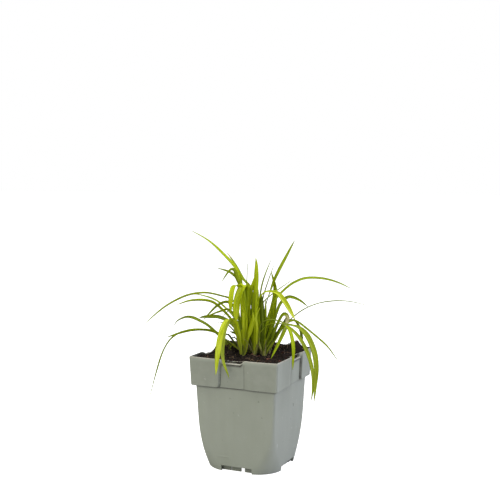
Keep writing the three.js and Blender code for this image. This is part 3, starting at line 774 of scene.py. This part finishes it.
def even_curve(points, spacing):
    """Evenly spaced places along a centripetal curve through the points."""
    ends = [points[0] * 2 - points[1], *points, points[-1] * 2 - points[-2]]
    line = []
    for before, start, end, after in zip(ends, ends[1:], ends[2:], ends[3:]):
        a, b, c = (math.sqrt((q - p).length) for p, q in ((before, start), (start, end), (end, after)))
        leaving = ((start - before) / a - (end - before) / (a + b) + (end - start) / b) * b
        arriving = ((end - start) / b - (after - start) / (b + c) + (after - end) / c) * b
        line += interpolate_bezier(start, start + leaving / 3, end - arriving / 3, end, CURVE_STEPS)[:-1]
    line.append(points[-1])
    reached = [0]
    for p, q in zip(line, line[1:]):
        reached.append(reached[-1] + (q - p).length)
    count = max(2, round(reached[-1] / spacing))
    places = []
    k = 0
    for i in range(count + 1):
        target = reached[-1] * i / count
        while k + 2 < len(line) and reached[k + 1] < target:
            k += 1
        places.append(line[k].lerp(line[k + 1], (target - reached[k]) / (reached[k + 1] - reached[k])))
    return places


def thread(bm, points, radius):
    """A fine three-sided fibre along a curve through the points, drawn out at both ends."""
    line = even_curve(points, FIBRE_CELL)
    steps = len(line) - 1
    tube = bmesh.ops.create_grid(bm, x_segments=3, y_segments=steps, size=1)["verts"]
    for vertex in tube:
        turn = (vertex.co.x + 1) * math.pi
        i = round((vertex.co.y + 1) / 2 * steps)
        along = (line[min(i + 1, steps)] - line[max(i - 1, 0)]).normalized()
        out = along.orthogonal()
        out.rotate(Matrix.Rotation(turn, 3, along))
        vertex.co = line[i] + out * radius * math.sin(math.pi * mix(0.03, 0.97, i / steps)) ** 0.5
    bmesh.ops.remove_doubles(bm, verts=tube, dist=radius * 0.05)


bm = bmesh.new()
for _ in range(FIBRES):
    start = on_soil(draws)
    heading = draws.uniform(0, 2 * math.pi)
    length = mix(4, 13, draws.random() ** 2)
    bend = draws.uniform(-0.8, 0.8)
    points = []
    for i in range(4):
        heading += bend / 3
        reach = length * i / 3
        x, y = start.x + reach * math.cos(heading), start.y + reach * math.sin(heading)
        x, y = (max(-FIBRE_REACH, min(FIBRE_REACH, value)) for value in (x, y))
        points.append(Vector((x, y, soil_top(x, y) + 0.35 + draws.uniform(0, 0.8))))
    if (points[-1] - points[0]).length > 2:
        thread(bm, points, draws.uniform(0.12, 0.3))
bmesh.ops.recalc_face_normals(bm, faces=bm.faces)
straw_finish = plain_finish("straw", (0.035, 0.018, 0.01), (0.2, 0.13, 0.07), 150, 0.7)
fibres = finish_mesh(bm, "root_fibres", straw_finish)
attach(fibres, "root")


# Moss. Low green cushions that grew on the left heap and between the crowns, where the peat stays
# damp. Each cushion is a crowd of tiny pointed shoots pressed together.
MOSS_CUSHIONS = ((-28, 0, 3, 220), (-24, 0, 4, 110), (-10, 16, 4, 150), (-7, 6, 3, 80), (4, 11, 3, 60))
MOSS_SIZES = (1.1, 2.2)

draws = random.Random(7)
sprig_shapes = [lump(1, (0.45, 0.45, 1.2), 0.5, 30 + seed) for seed in range(3)]
bm = bmesh.new()
for cushion_x, cushion_y, spread, count in MOSS_CUSHIONS:
    for _ in range(count):
        x, y = draws.gauss(cushion_x, spread / 2), draws.gauss(cushion_y, spread / 2)
        size = draws.uniform(*MOSS_SIZES)
        place = Vector((x, y, soil_top(x, y) + size * draws.uniform(0, 0.5)))
        place_lump(bm, sprig_shapes, size, place, draws)
moss_finish = plain_finish("moss", (0.03, 0.042, 0.003), (0.15, 0.19, 0.01), 300, 0.9)
moss = finish_mesh(bm, "moss_cushions", moss_finish, 60)
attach(moss, "root")
for mesh in sprig_shapes:
    bpy.data.meshes.remove(mesh)


# Leaves. Nine shoots of narrow strap leaves with fine parallel veins. Each leaf is a long thin
# sheet laid along its course and channelled along its middle, and it is thickened at the end.
def leaf(to, width, tint_and_light, turn, *course, **more):
    """A row of the table. To is the leaf's heading in degrees. Tint runs from 0, dark green, to 1,
    lime yellow, and may have a value for the root and one for the tip. It is partly the leaf's own
    green and partly painted light: low values paint shade on leaves and parts of leaves that lie deep
    in the clump or turn from the light, and values near 1 paint a pale sheen. The blade turns about
    its own line by two angles, at its root and its tip. The course lists (reach, height, aside) in the
    upright plane of the heading through the crown, with heights from the rim."""
    return dict(to=to, width=width, tint_and_light=tint_and_light, turn=turn, course=course, **more)


SHOOTS = {"front_left": [
    leaf(262, 5.6, (0.8, 0.98), (60, -45), (1, -5), (9, 16.5, 1), (13, 24.5, 1), (16.5, 30, 1.5),
        (20, 33.5, 0.5), (26, 34.5), (32, 31.5), (35.5, 27), (45, 3.5, 0.5), (46.3, -13.5, -0.5)),
    leaf(270, 4, (0.75, 0.5), (-42, -48), (0, -5), (4.5, 15.5, -2), (10, 25.5, -2.5), (12.5, 29.5, -3),
        (15.5, 32, -5), (19, 32, -6.5), (25, 26, -7.5), (34, 12.5, -6), (39.5, 1.5, -3), (41, -3.5, -1),
        (43, -16, 5.5), age=0.2),
    leaf(272, 5.4, (0.55, 0.8), (0, 15), (0, -5), (0, 30), (2, 50, 0.5), (5, 59, 0.5), (10, 64.5, 0.5),
        (14, 66, -0.5), (18, 65.5, -1.5), (23, 62.5, -1), (29.5, 52, 0.5), (31, 42.5, 0.5), full_to=0.88),
    leaf(276, 6.4, (0.45, 0.92), (-12, -20), (0, -5), (-3, 11.5, -1), (-5, 35), (-3, 55, 1), (0.5, 62.5, 2),
        (5.5, 65.5, 2.5), (10, 62.5, 1.5), (15.5, 55), (19, 44, -0.5), (20.5, 32.5, 0.5), full_to=0.88),
    leaf(294, 3.8, (0.35, 0.85), (5, 18), (0, -5), (-1, 52.5, 4.5), (-1, 60.5, 4.5), (0, 64.5, 3.5),
        (2, 65, 1.5), (4.5, 62.5), (7.5, 54), (8.5, 44.5, 0.5), (9, 38.5, 3), (9, 33, 3.5), full_to=0.85),
    leaf(286, 4.8, 0.8, (0, 10), (0, -5), (-1.5, 26.5, 1.5), (-3, 54.5, 1.5)),
    leaf(290, 3.6, 0.85, (0, 15), (0, -5), (1.5, 17), (2, 48, 1), slim_to=0.01),
    leaf(300, 3.6, 0.85, (20, 0), (0, -5), (0, 7, 2.5), (0, 17, 3), (0, 26.5, 3.5), (0, 40, 3),
        slim_to=0.01),
    leaf(310, 4.4, 0.85, (-30, -10), (1, -5), (2, 0.5, 2), (3.5, 15, 4.5), (3.5, 27, 8), (4, 31.5, 9),
        (4, 39.5, 8.5), slim_to=0.4),
    leaf(222, 3, 0.25, (5, 85), (0, -5), (0.5, 12), (2, 22), (8, 42.5), (12, 47.5), (16, 49.5),
        (23.5, 47.5), (34, 39), (39.5, 33)),
    leaf(235, 2.2, 0.2, (0, 0), (0, -5), (1, 17), (3.5, 30), (7.5, 40), (12, 43), (16, 41.5), (22.5, 36.5)),
    leaf(294, 4.4, 0.5, (20, 0), (0, -5), (-0.5, 16.5, 2), (-0.5, 52.5, 3.5), (1, 62, 3), (3, 64, 2),
        (5.5, 60, 2.5), (8.5, 43.5, 4)),
], "left": [
    leaf(204, 2.8, 0.6, (30, 50), (0, -5), (2, 24.5), (5, 38.5), (8.5, 47), (13.5, 51), (18.5, 52.5),
        (28.5, 55), (37.5, 56), (54, 53.5), (73, 44), (85, 35), (94.5, 26.5)),
    leaf(222, 2.8, 0.6, (25, 75), (0, -5), (1, 5), (4, 15), (8.5, 25), (13.5, 33), (23.5, 43.5), (29.5, 48),
        (37.5, 50.5), (52.5, 51), (66, 47.5)),
    leaf(190, 2.6, 0.65, (30, 60), (0, -5), (1.5, 10), (5, 24.5), (9.5, 35.5), (14.5, 39.5), (20, 38),
        (32, 33.5), (37.5, 30.5)),
    leaf(228, 3.6, 0.42, (80, 70), (0, -5), (-3, 12), (-3, 28), (-1, 46), (1, 61), (6, 72), (8, 78.5),
        (11, 80), (14, 78), (22, 68)),
    leaf(196, 3.2, 0.5, (35, 65), (1, -5), (1.5, -1), (9.5, 5), (17.5, 11), (25, 15.5), (33, 18),
        (46, 18.6), (57, 16.8), (76, 10.7), slim_to=0.3),
    leaf(218, 3.4, 0.42, (45, 10), (1, -5), (1.5, -1), (4.5, 1), (13.5, 9), (17.5, 12), (24, 18),
        (36, 21.3), (48, 21), (60, 19.8), (69.5, 14.5), (76.5, 5), (84.3, -17), (91, -40), slim_to=0.2),
], "left_back": [
    leaf(160, 2.8, 0.4, (15, -15), (0, -4), (1.5, 10), (5, 21.5), (11.5, 28.5), (20, 35), (34, 42.5),
        (43.5, 45), (53.5, 46.5), (66, 47.5), (74, 46.5)),
    leaf(165, 4.4, 0.2, (25, -75), (1, -4), (3, 6), (9.5, 18), (17.5, 24), (29, 27.5), (36, 27.5),
        (51.5, 26), (57.5, 24.5)),
    leaf(172, 3.8, 0.2, (10, -45), (1, -4), (3, -1), (13, 3), (24.5, 7.5), (42.5, 19), (51, 22.5),
        (59.5, 25), (67.5, 25), (75, 22.5), (79.5, 20), (84.5, 14.5)),
    leaf(150, 1.6, 0.1, (10, -15), (0, -4), (6, 6), (11, 12), (15, 15), (24.5, 19.5), (30.5, 20.5),
        (41, 20.5), (44, 19)),
    leaf(220, 2.6, 0.3, (30, 70), (0, -4), (1.5, 4), (4, 11.5), (7.5, 15), (13.5, 17.5)),
    leaf(205, 2.2, 0.05, (35, 75), (0, -4), (5, 1), (8, 5), (11, 9.5), (15, 14), (18.5, 12)),
    leaf(190, 1.8, 0.05, (20, 60), (0, -4), (1.5, -2), (5.5, 7), (8, 10), (10.5, 10), (12.5, 8.5)),
], "back_left": [
    leaf(172, 4.6, 0.6, (-22, -5), (0, -4), (5, 8), (9.7, 25), (12.7, 45), (14.5, 62), (15.5, 69),
        (17.5, 75), (23, 81.5), (33, 90.5), (53, 105), (72, 114), full_to=0.6),
    leaf(148, 4.2, 0.35, (15, 5), (0, -4), (1, 22), (2, 42), (3.5, 55), (6, 61), (18, 67.5), (32, 81.5),
        (46, 92), full_to=0.6),
    leaf(170, 2.8, 0.35, (-40, -70), (0, -4), (5, 8), (8, 23), (9, 40), (10.5, 53), (14.5, 65), (26, 74),
        (43, 78)),
    leaf(150, 1.8, 0.3, (50, 60), (0, -4), (6, 8), (9, 20), (10.5, 36), (11, 55), (10, 70), (9, 84)),
    leaf(108, 4, 0.25, (0, -20), (0, -4), (3, 16), (9, 29), (18, 36), (29, 35), (38, 25), (43, 11)),
    leaf(290, 6, 0.12, (0, 10), (0, -4), (-1, 10, -3), (-2, 25, -3.5), (-2, 45, -4), slim_to=0.01),
    leaf(290, 5, 0.04, (10, 0), (0, -4), (0, 10, -1), (0, 22, -1), (0, 34, -1.5), slim_to=0.01),
], "middle": [
    leaf(300, 4.4, (0.4, 0.8), (20, -5), (0, -4), (0, 6.5, 0.5), (0.5, 36, -0.5), (1.5, 46, -0.5),
        (3, 65.5, 1), (4, 77, 1), (3.5, 85.5, 1), (3, 92, 0.5), full_to=0.8),
    leaf(8, 4.6, (0.65, 1), (60, 62), (0, -4), (-1, 18), (-1.5, 36), (0.5, 46), (8, 57), (11, 59),
        (15, 59.5), (21, 58.5), (23.5, 57), (30.5, 48.5), (40, 32.5), slim_to=0.6, full_to=0.85),
    leaf(340, 4.6, 0.8, (0, 10), (0, -4), (1.5, 2), (2, 16.5), (1.5, 31), (4, 48)),
    leaf(200, 4.8, 0.75, (70, 60), (0, -4), (1, 12.5), (5.5, 30), (7, 41.5), (6, 52.5), (2, 67),
        (-0.5, 75)),
    leaf(130, 4.4, 0.35, (0, 10), (0, -4), (2, 20), (3, 40), (3, 56), (5, 62)),
    leaf(330, 4.4, 0.7, (0, 10), (0, -4), (2, 18), (3, 38), (3, 59)),
    leaf(20, 4.4, 0.6, (80, 90), (0, -4), (1.5, 1.5), (3, 11.5), (3, 42.5)),
    leaf(300, 5.4, 0.35, (0, 20), (0, -4), (-1, 11.5, -1), (-2, 29, -5), (-3, 40.5, -6), (-3, 52, -7),
        (-1.5, 63, -6.5), (-1, 67, -5.5)),
    leaf(280, 3.6, 0.75, (-20, 0), (0, -4), (1, 7, -0.7), (1, 21, -2.2), (1, 33, -1.5), (1, 47, 0)),
    leaf(290, 3, (0.9, 0.7), (15, 0), (1, -4), (1, 15), (1, 33, -0.5), slim_to=0.01),
    leaf(300, 2.6, 0.9, (25, 10), (1, -4), (2.5, 2, 1.5), (3.5, 17, 2), (3, 26.5, 2), (3, 33.5, 0.5),
        (3, 43.5, 4.5), slim_to=0.01),
    leaf(300, 4.8, (0.5, 0.75), (-15, 10), (0, -4), (-1, 31, 0.5), (1.5, 58.5, 2.5), (2, 64, 2)),
], "right": [
    leaf(60, 7.2, 0.75, (60, 20), (0, -4), (0.5, 3), (2.5, 11.5), (4.5, 17), (13, 36), (16.5, 50.5),
        (16.5, 63), (12, 76), full_to=0.35),
    leaf(34, 3, 0.4, (5, 55), (0, -4), (2.5, 11), (10, 32), (13.5, 49), (27.5, 63), (34.5, 67), (41, 69.5),
        (49, 70.4), (63, 69), (77, 65), (90, 59)),
    leaf(62, 3.8, 0.4, (-60, 45), (0, -4), (2, 28), (6, 46), (12.4, 60), (24, 80), (33, 93), (42, 106),
        slim_to=0.45, full_to=0.7),
    leaf(20, 3.4, 0.3, (35, 65), (0, -4), (8, 16), (12, 26), (15, 38), (19, 47.5), (26, 53), (36, 50.3),
        (45, 43.7)),
    leaf(50, 1.7, 0.35, (0, 0), (0, -4), (0, 38), (1.5, 46.5), (12, 55), (33, 67.5)),
    leaf(290, 5, 0.1, (0, 15), (0, -4), (2, 12, 0), (3, 30, 0.8), (2, 56, 0)),
    leaf(290, 3.6, 0, (-30, 0), (0, -4), (0, 6, -1), (0, 16, -1.1), (-1, 32, -1.1), (-2, 51, -0.6)),
    leaf(20, 2, 0.2, (30, 60), (0, -4), (1, 6), (2.4, 19), (4.4, 34)),
    leaf(30, 1.8, 0.05, (70, 40), (0, -4), (2.4, 6), (6.2, 20), (9.4, 33)),
    leaf(290, 2.2, 0.6, (0, 0), (0, -4), (0, 10, 2.5), (0, 25, 3.5), (0, 51, 4)),
], "right_back": [
    leaf(24, 1.9, 0.3, (0, 0), (0, -3), (4, 7), (12, 20), (22, 31), (34, 40), (48, 46), (63, 48.3),
        (78, 48), (92.95, 45)),
    leaf(36, 2.6, 0.4, (45, 45), (0, -3), (6.5, 12), (14.5, 23.5), (19.5, 27), (24.5, 28.5), (28.5, 27),
        (38, 20), (50, 10), (60, 0.5), (71, -14)),
    leaf(15, 1.8, 0.35, (0, 0), (0, -3), (11, 18.5), (16, 24), (19.5, 26), (23, 25.5), (27.5, 24),
        (33.5, 20.5), (38.5, 15)),
    leaf(60, 4.2, 0.1, (-10, 90), (0, -3), (11.5, 16), (20, 26), (28.5, 27.5), (33, 25), (37, 19.5),
        (39.5, 14), (41.5, 1.5), slim_to=0.6, full_to=0.93),
    leaf(44, 4, 0.1, (20, 50), (0, -3), (5, 7.5), (11, 17.5), (16.5, 26.5), (19, 33)),
    leaf(20, 1.8, 0, (40, 70), (0, -3), (0, 5), (3.2, 15), (7.5, 27)),
    leaf(75, 3, 0.15, (10, 40), (0, -3), (4, 14), (8, 31), (10, 45.5)),
], "right_front": [
    leaf(358, 3.8, (0.35, 0.6), (10, 55), (-1, -4), (-5.5, 10), (-5, 18), (-1.5, 22.5), (3.5, 27),
        (13, 29.5), (22.5, 28), (28.5, 24.5), (36.5, 16.5), (46.5, -2), (49.5, -15), (50, -30),
        (48.5, -42.5), slim_to=0.34, age=0.12),
    leaf(344, 5.4, (0.12, 0.6), (22, 35), (-1, -4), (-6, 12), (-5.5, 22.5), (-3, 28), (2.5, 31.5), (10, 33),
        (20, 32), (26, 30.5), (39, 29.5), (43.5, 27.5), (48.5, 23.5), (53, 18), (58.5, 7.5), (60.5, -5.5),
        (59, -38.5), slim_to=0.42, age=0.12),
    leaf(325, 3.6, (0.3, 0.7), (-45, 30), (0, -4), (4, 3, 1.5), (7, 8, 3.5), (12, 14.5, 5.5), (16, 20.5, 6),
        (21, 26, 6.5), (28, 29.5, 5), (35, 28, 4), (40, 24.5, 3), (45, 19, 1.5), (48.5, 11.5, 0.5),
        (48.5, -7.5), slim_to=0.3),
    leaf(0, 3.6, (0.05, 0.62), (60, 60), (0, -4), (1.5, 1), (6, 9, 1), (12.5, 27.5, 3), (16, 35, 4),
        (18.5, 38, 4.5), (21.5, 37, 4), (22.5, 35, 3), (23, 27.5, -3), (20, 14, -13), (16.5, 0, -24),
        dry=(0.53, 0.61)),
    leaf(20, 1.6, 0.05, (60, 80), (0, -4), (1.2, 5), (6.2, 17.4), (12.4, 29)),
    leaf(10, 2.2, 0.15, (70, 60), (0, -4), (2, 4), (8.3, 15), (15.6, 24.5)),
], "back": [
    leaf(80, 1.6, 0.3, (0, 0), (0, -2), (-5, 20), (-7, 36), (-5, 50), (-1, 63), (6, 75), (15, 86.5)),
    leaf(55, 1.6, 0.3, (0, 0), (0, -2), (-2, 20), (-1.6, 38), (1.5, 53), (7, 67.5), (13, 82)),
    leaf(116, 4.4, 0.2, (0, 20), (0, -2), (4, 18), (11, 31), (21, 36), (31, 30), (38, 18), (41, 4)),
    leaf(132, 4, 0.2, (0, -20), (0, -2), (3, 20), (9, 37), (19, 46), (31, 46), (42, 38), (50, 26)),
    leaf(98, 3.8, 0.2, (0, 20), (0, -2), (3, 16), (9, 26), (18, 28), (27, 20), (33, 8), (36, -6)),
]}

LEAF_THICK = 0.42
LEAF_CELL = 1.7
LEAF_STRIPS = 8
ROOT_NARROW = 0.45
SLIM_NARROW = 0.3
TIP_NARROWING = 0.84
CHANNEL = 0.55
ROOT_CHANNEL = 0.95
RIPPLE = 0.1
DRY_RIPPLE = 0.6
CROWN_RADIUS = 2.2
CROWN_RISE = 5
CROWN_SUNK = 4


def blade(
    bm, root, draws, to, width, course, tint_and_light,
    turn=(0, 0), slim_to=0.0, full_to=0.7, age=0.0, dry=(2, 2),
):
    """Lays one leaf along its course, and notes on each point where on the leaf it is. It is slim
    up to one share of its length, and full up to another. Dry gives the shares where it has dried."""
    heading = math.radians(to)
    ahead = Vector((math.cos(heading), math.sin(heading), 0))
    aside = Vector((-math.sin(heading), math.cos(heading), 0))
    points = []
    for reach, height, *side in course:
        foot = Vector((*root, RIM_HEIGHT + height))
        points.append(foot + ahead * reach + aside * (side[0] if side else 0))
    line = even_curve(points, LEAF_CELL)
    steps = len(line) - 1
    root_tint_and_light, tip_tint_and_light = tint_and_light if isinstance(tint_and_light, tuple) else (tint_and_light, tint_and_light)
    rings = []
    for i, centre in enumerate(line):
        u = i / steps
        along = (line[min(i + 1, steps)] - line[max(i - 1, 0)]).normalized()
        across = (aside - along * aside.dot(along)).normalized()
        across.rotate(Matrix.Rotation(math.radians(mix(*turn, u)), 3, along))
        taper = 1 - TIP_NARROWING * max(0, (u - full_to) / (1 - full_to)) ** 1.6
        point = min(1, (1 - u) / 0.05 + 0.06) ** 0.6
        spread = smooth(slim_to, slim_to + 0.18, u) if slim_to else smooth(0, 0.35, u)
        narrow = SLIM_NARROW if slim_to > 0.1 else ROOT_NARROW
        half = width * mix(narrow, 1, spread) * taper * point / 2
        fold = mix(ROOT_CHANNEL, CHANNEL, smooth(0, 0.4, u))
        dried = max(age, smooth(dry[0] - 0.04, dry[0], u) - smooth(dry[1], dry[1] + 0.08, u))
        rings.append((centre, across, along.cross(across), half, fold, dried))
    seed = draws.uniform(0, 50)
    place_layer = bm.verts.layers.float_vector["place"]
    look_layer = bm.verts.layers.float_vector["look"]
    sheet = bmesh.ops.create_grid(bm, x_segments=LEAF_STRIPS, y_segments=steps, size=1)["verts"]
    for vertex in sheet:
        s = vertex.co.x
        i = round((vertex.co.y + 1) / 2 * steps)
        centre, across, up, half, fold, dried = rings[i]
        ripple = mix(RIPPLE, DRY_RIPPLE, dried)
        wave = ripple * half * s * math.sin(i * LEAF_CELL / mix(6, 1.6, dried) + seed + 1.5 * s)
        vertex.co = centre + across * (s * half) + up * (fold * half * abs(s) ** 1.35 + wave)
        vertex[place_layer] = (s, i * LEAF_CELL, i / steps)
        vertex[look_layer] = (mix(root_tint_and_light, tip_tint_and_light, i / steps), dried, seed)


def crown(bm, root):
    """The short stem that the leaves sheathe, standing out of the soil."""
    ground = soil_height(*root)
    stem = bmesh.ops.create_cone(
        bm, segments=14, radius1=CROWN_RADIUS, radius2=1, depth=CROWN_RISE + CROWN_SUNK,
        matrix=Matrix.Translation((*root, ground + (CROWN_RISE - CROWN_SUNK) / 2)),
    )["verts"]
    for vertex in stem:
        vertex[bm.verts.layers.float_vector["place"]] = (0.4, 2, 0.02)
        # A low tint, which paints shade on the stem down among the leaf bases.
        vertex[bm.verts.layers.float_vector["look"]] = (0.1, 0.3, root[0])


def dress_crown(bm, root, draws):
    """Short pale sheaths round the foot of a shoot, and a few dried shreds of older ones."""
    for i in range(4):
        tall = draws.uniform(2, 9)
        lean = draws.uniform(0.05, 0.25) * tall
        # A low tint, which paints shade on the sheaths at the foot of the clump.
        blade(bm, root, draws, 90 * i + draws.uniform(0, 80), draws.uniform(1.2, 2), [
            (1.2, -6), (1.7, -2), (2 + 0.3 * lean, mix(-2, tall, 0.5)), (2.2 + lean, tall),
        ], tint_and_light=0.15, full_to=0.3, age=draws.uniform(0, 0.35))
    for i in range(5):
        tall = draws.uniform(4, 15)
        lean = draws.uniform(0.2, 0.8) * tall
        blade(bm, root, draws, 72 * i + draws.uniform(0, 70), draws.uniform(0.6, 1.1), [
            (1.4, -5), (2.4, -1), (2.6 + 0.5 * lean, 0.6 * tall), (2.8 + lean, tall),
        ], tint_and_light=0.3, full_to=0.5, age=0.95)


def leaf_finish():
    """Green blade with parallel veins, whose green follows the tint and so is partly painted light.
    It is paler at its root, and darker just above, partly peat splashed on it and partly painted shade
    among the bases. A few leaves yellow and brown at their tips."""
    material, tree = new_material("leaf_blade")
    place = add_node(tree, "ShaderNodeAttribute", attribute_name="place")
    look = add_node(tree, "ShaderNodeAttribute", attribute_name="look")
    where = add_node(tree, "ShaderNodeSeparateXYZ", {"Vector": place.outputs["Vector"]})
    kind = add_node(tree, "ShaderNodeSeparateXYZ", {"Vector": look.outputs["Vector"]})
    across, along, share = where.outputs["X"], where.outputs["Y"], where.outputs["Z"]
    tint_and_light, age, seed = kind.outputs["X"], kind.outputs["Y"], kind.outputs["Z"]

    def calc(operation, *values):
        return add_node(tree, "ShaderNodeMath", dict(enumerate(values)), operation=operation).outputs[0]

    def ease(value, low, high, first=0.0, last=1.0):
        return ranged(value, low, high, first, last, "SMOOTHSTEP")

    def streaks(fine, long, detail):
        vector = add_node(tree, "ShaderNodeCombineXYZ", {
            "X": calc("MULTIPLY", across, fine), "Y": calc("MULTIPLY", along, long), "Z": seed,
        })
        return speckled(vector.outputs[0], 1.0, detail)

    veins = streaks(9, 0.015, 2)
    patches = streaks(1.2, 0.07, 3)
    tone_and_light = calc("ADD", tint_and_light, calc("MULTIPLY", calc("SUBTRACT", patches, 0.5), 0.45))
    # From dark green to lime, partly painted light: the low stops paint shade and the top stop a pale
    # painted sheen.
    ramp = add_node(tree, "ShaderNodeValToRGB", {"Fac": tone_and_light})
    stops = ramp.color_ramp.elements
    stops[0].color = (0.08, 0.115, 0.001, 1)
    stops[1].color = (0.66, 0.72, 0.06, 1)
    stops.new(0.3).color = (0.225, 0.30, 0.001, 1)
    stops.new(0.6).color = (0.37, 0.46, 0.002, 1)
    stops.new(0.85).color = (0.47, 0.55, 0.003, 1)
    veined = ease(veins, 0.35, 0.7, 0.0, 0.5)
    green = mixed(veined, ramp.outputs["Color"], (0.5, 0.55, 0.3, 1), "MULTIPLY")
    edge = ease(calc("ABSOLUTE", across), 0.7, 1.0, 0.0, 0.45)
    green = mixed(edge, green, (0.45, 0.55, 0.3, 1), "MULTIPLY")
    middle = ease(calc("ABSOLUTE", across), 0.0, 0.16, 0.35, 0.0)
    green = mixed(middle, green, (0.42, 0.5, 0.08, 1))
    root = ease(share, 0.0, 0.3, 0.6, 0.0)
    green = mixed(root, green, (0.38, 0.43, 0.06, 1))
    # Darker a little above the root: partly splashed peat, partly painted shade among the leaf bases.
    splashed_and_shaded = ease(along, 2.0, 8.0, 0.35, 0.0)
    green = mixed(splashed_and_shaded, green, (0.045, 0.035, 0.016, 1))
    tip = calc("ADD", share, calc("MULTIPLY", calc("SUBTRACT", patches, 0.5), 0.12))
    spent = ease(calc("FRACT", calc("MULTIPLY", seed, 2.3)), 0.8, 0.95)
    yellowed = calc("MULTIPLY", ease(tip, 0.9, 0.98, 0.0, 0.8), spent)
    green = mixed(yellowed, green, (0.5, 0.42, 0.08, 1))
    browned = calc("MULTIPLY", ease(tip, 0.965, 0.995, 0.0, 0.9), spent)
    green = mixed(browned, green, (0.2, 0.1, 0.04, 1))
    dead = mixed(ease(veins, 0.35, 0.65), (0.15, 0.125, 0.045, 1), (0.50, 0.50, 0.21, 1))
    color = mixed(age, green, dead)
    skin, relief = skinned(color, 0.5, 0.12, streaks(16, 0.004, 1), 0.35)
    glow = add_node(tree, "ShaderNodeBsdfTranslucent", {"Color": color, "Normal": relief})
    show(add_node(tree, "ShaderNodeMixShader", {"Fac": 0.28, 1: skin, 2: glow.outputs[0]}).outputs[0])
    return material


leaf_blade = leaf_finish()
draws = random.Random(5)
for name, leaves in SHOOTS.items():
    root = CROWNS[name]
    bm = bmesh.new()
    bm.verts.layers.float_vector.new("place")
    bm.verts.layers.float_vector.new("look")
    crown(bm, root)
    for leaf in leaves:
        blade(bm, root, draws, **leaf)
    dress_crown(bm, root, draws)
    shoot = finish_mesh(bm, f"leaves_{name}", leaf_blade, 60)
    thick = shoot.modifiers.new("thickness", "SOLIDIFY")
    thick.thickness = LEAF_THICK * MM
    thick.offset = 0
    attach(shoot, "root")
    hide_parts(f"shoot_{name}")
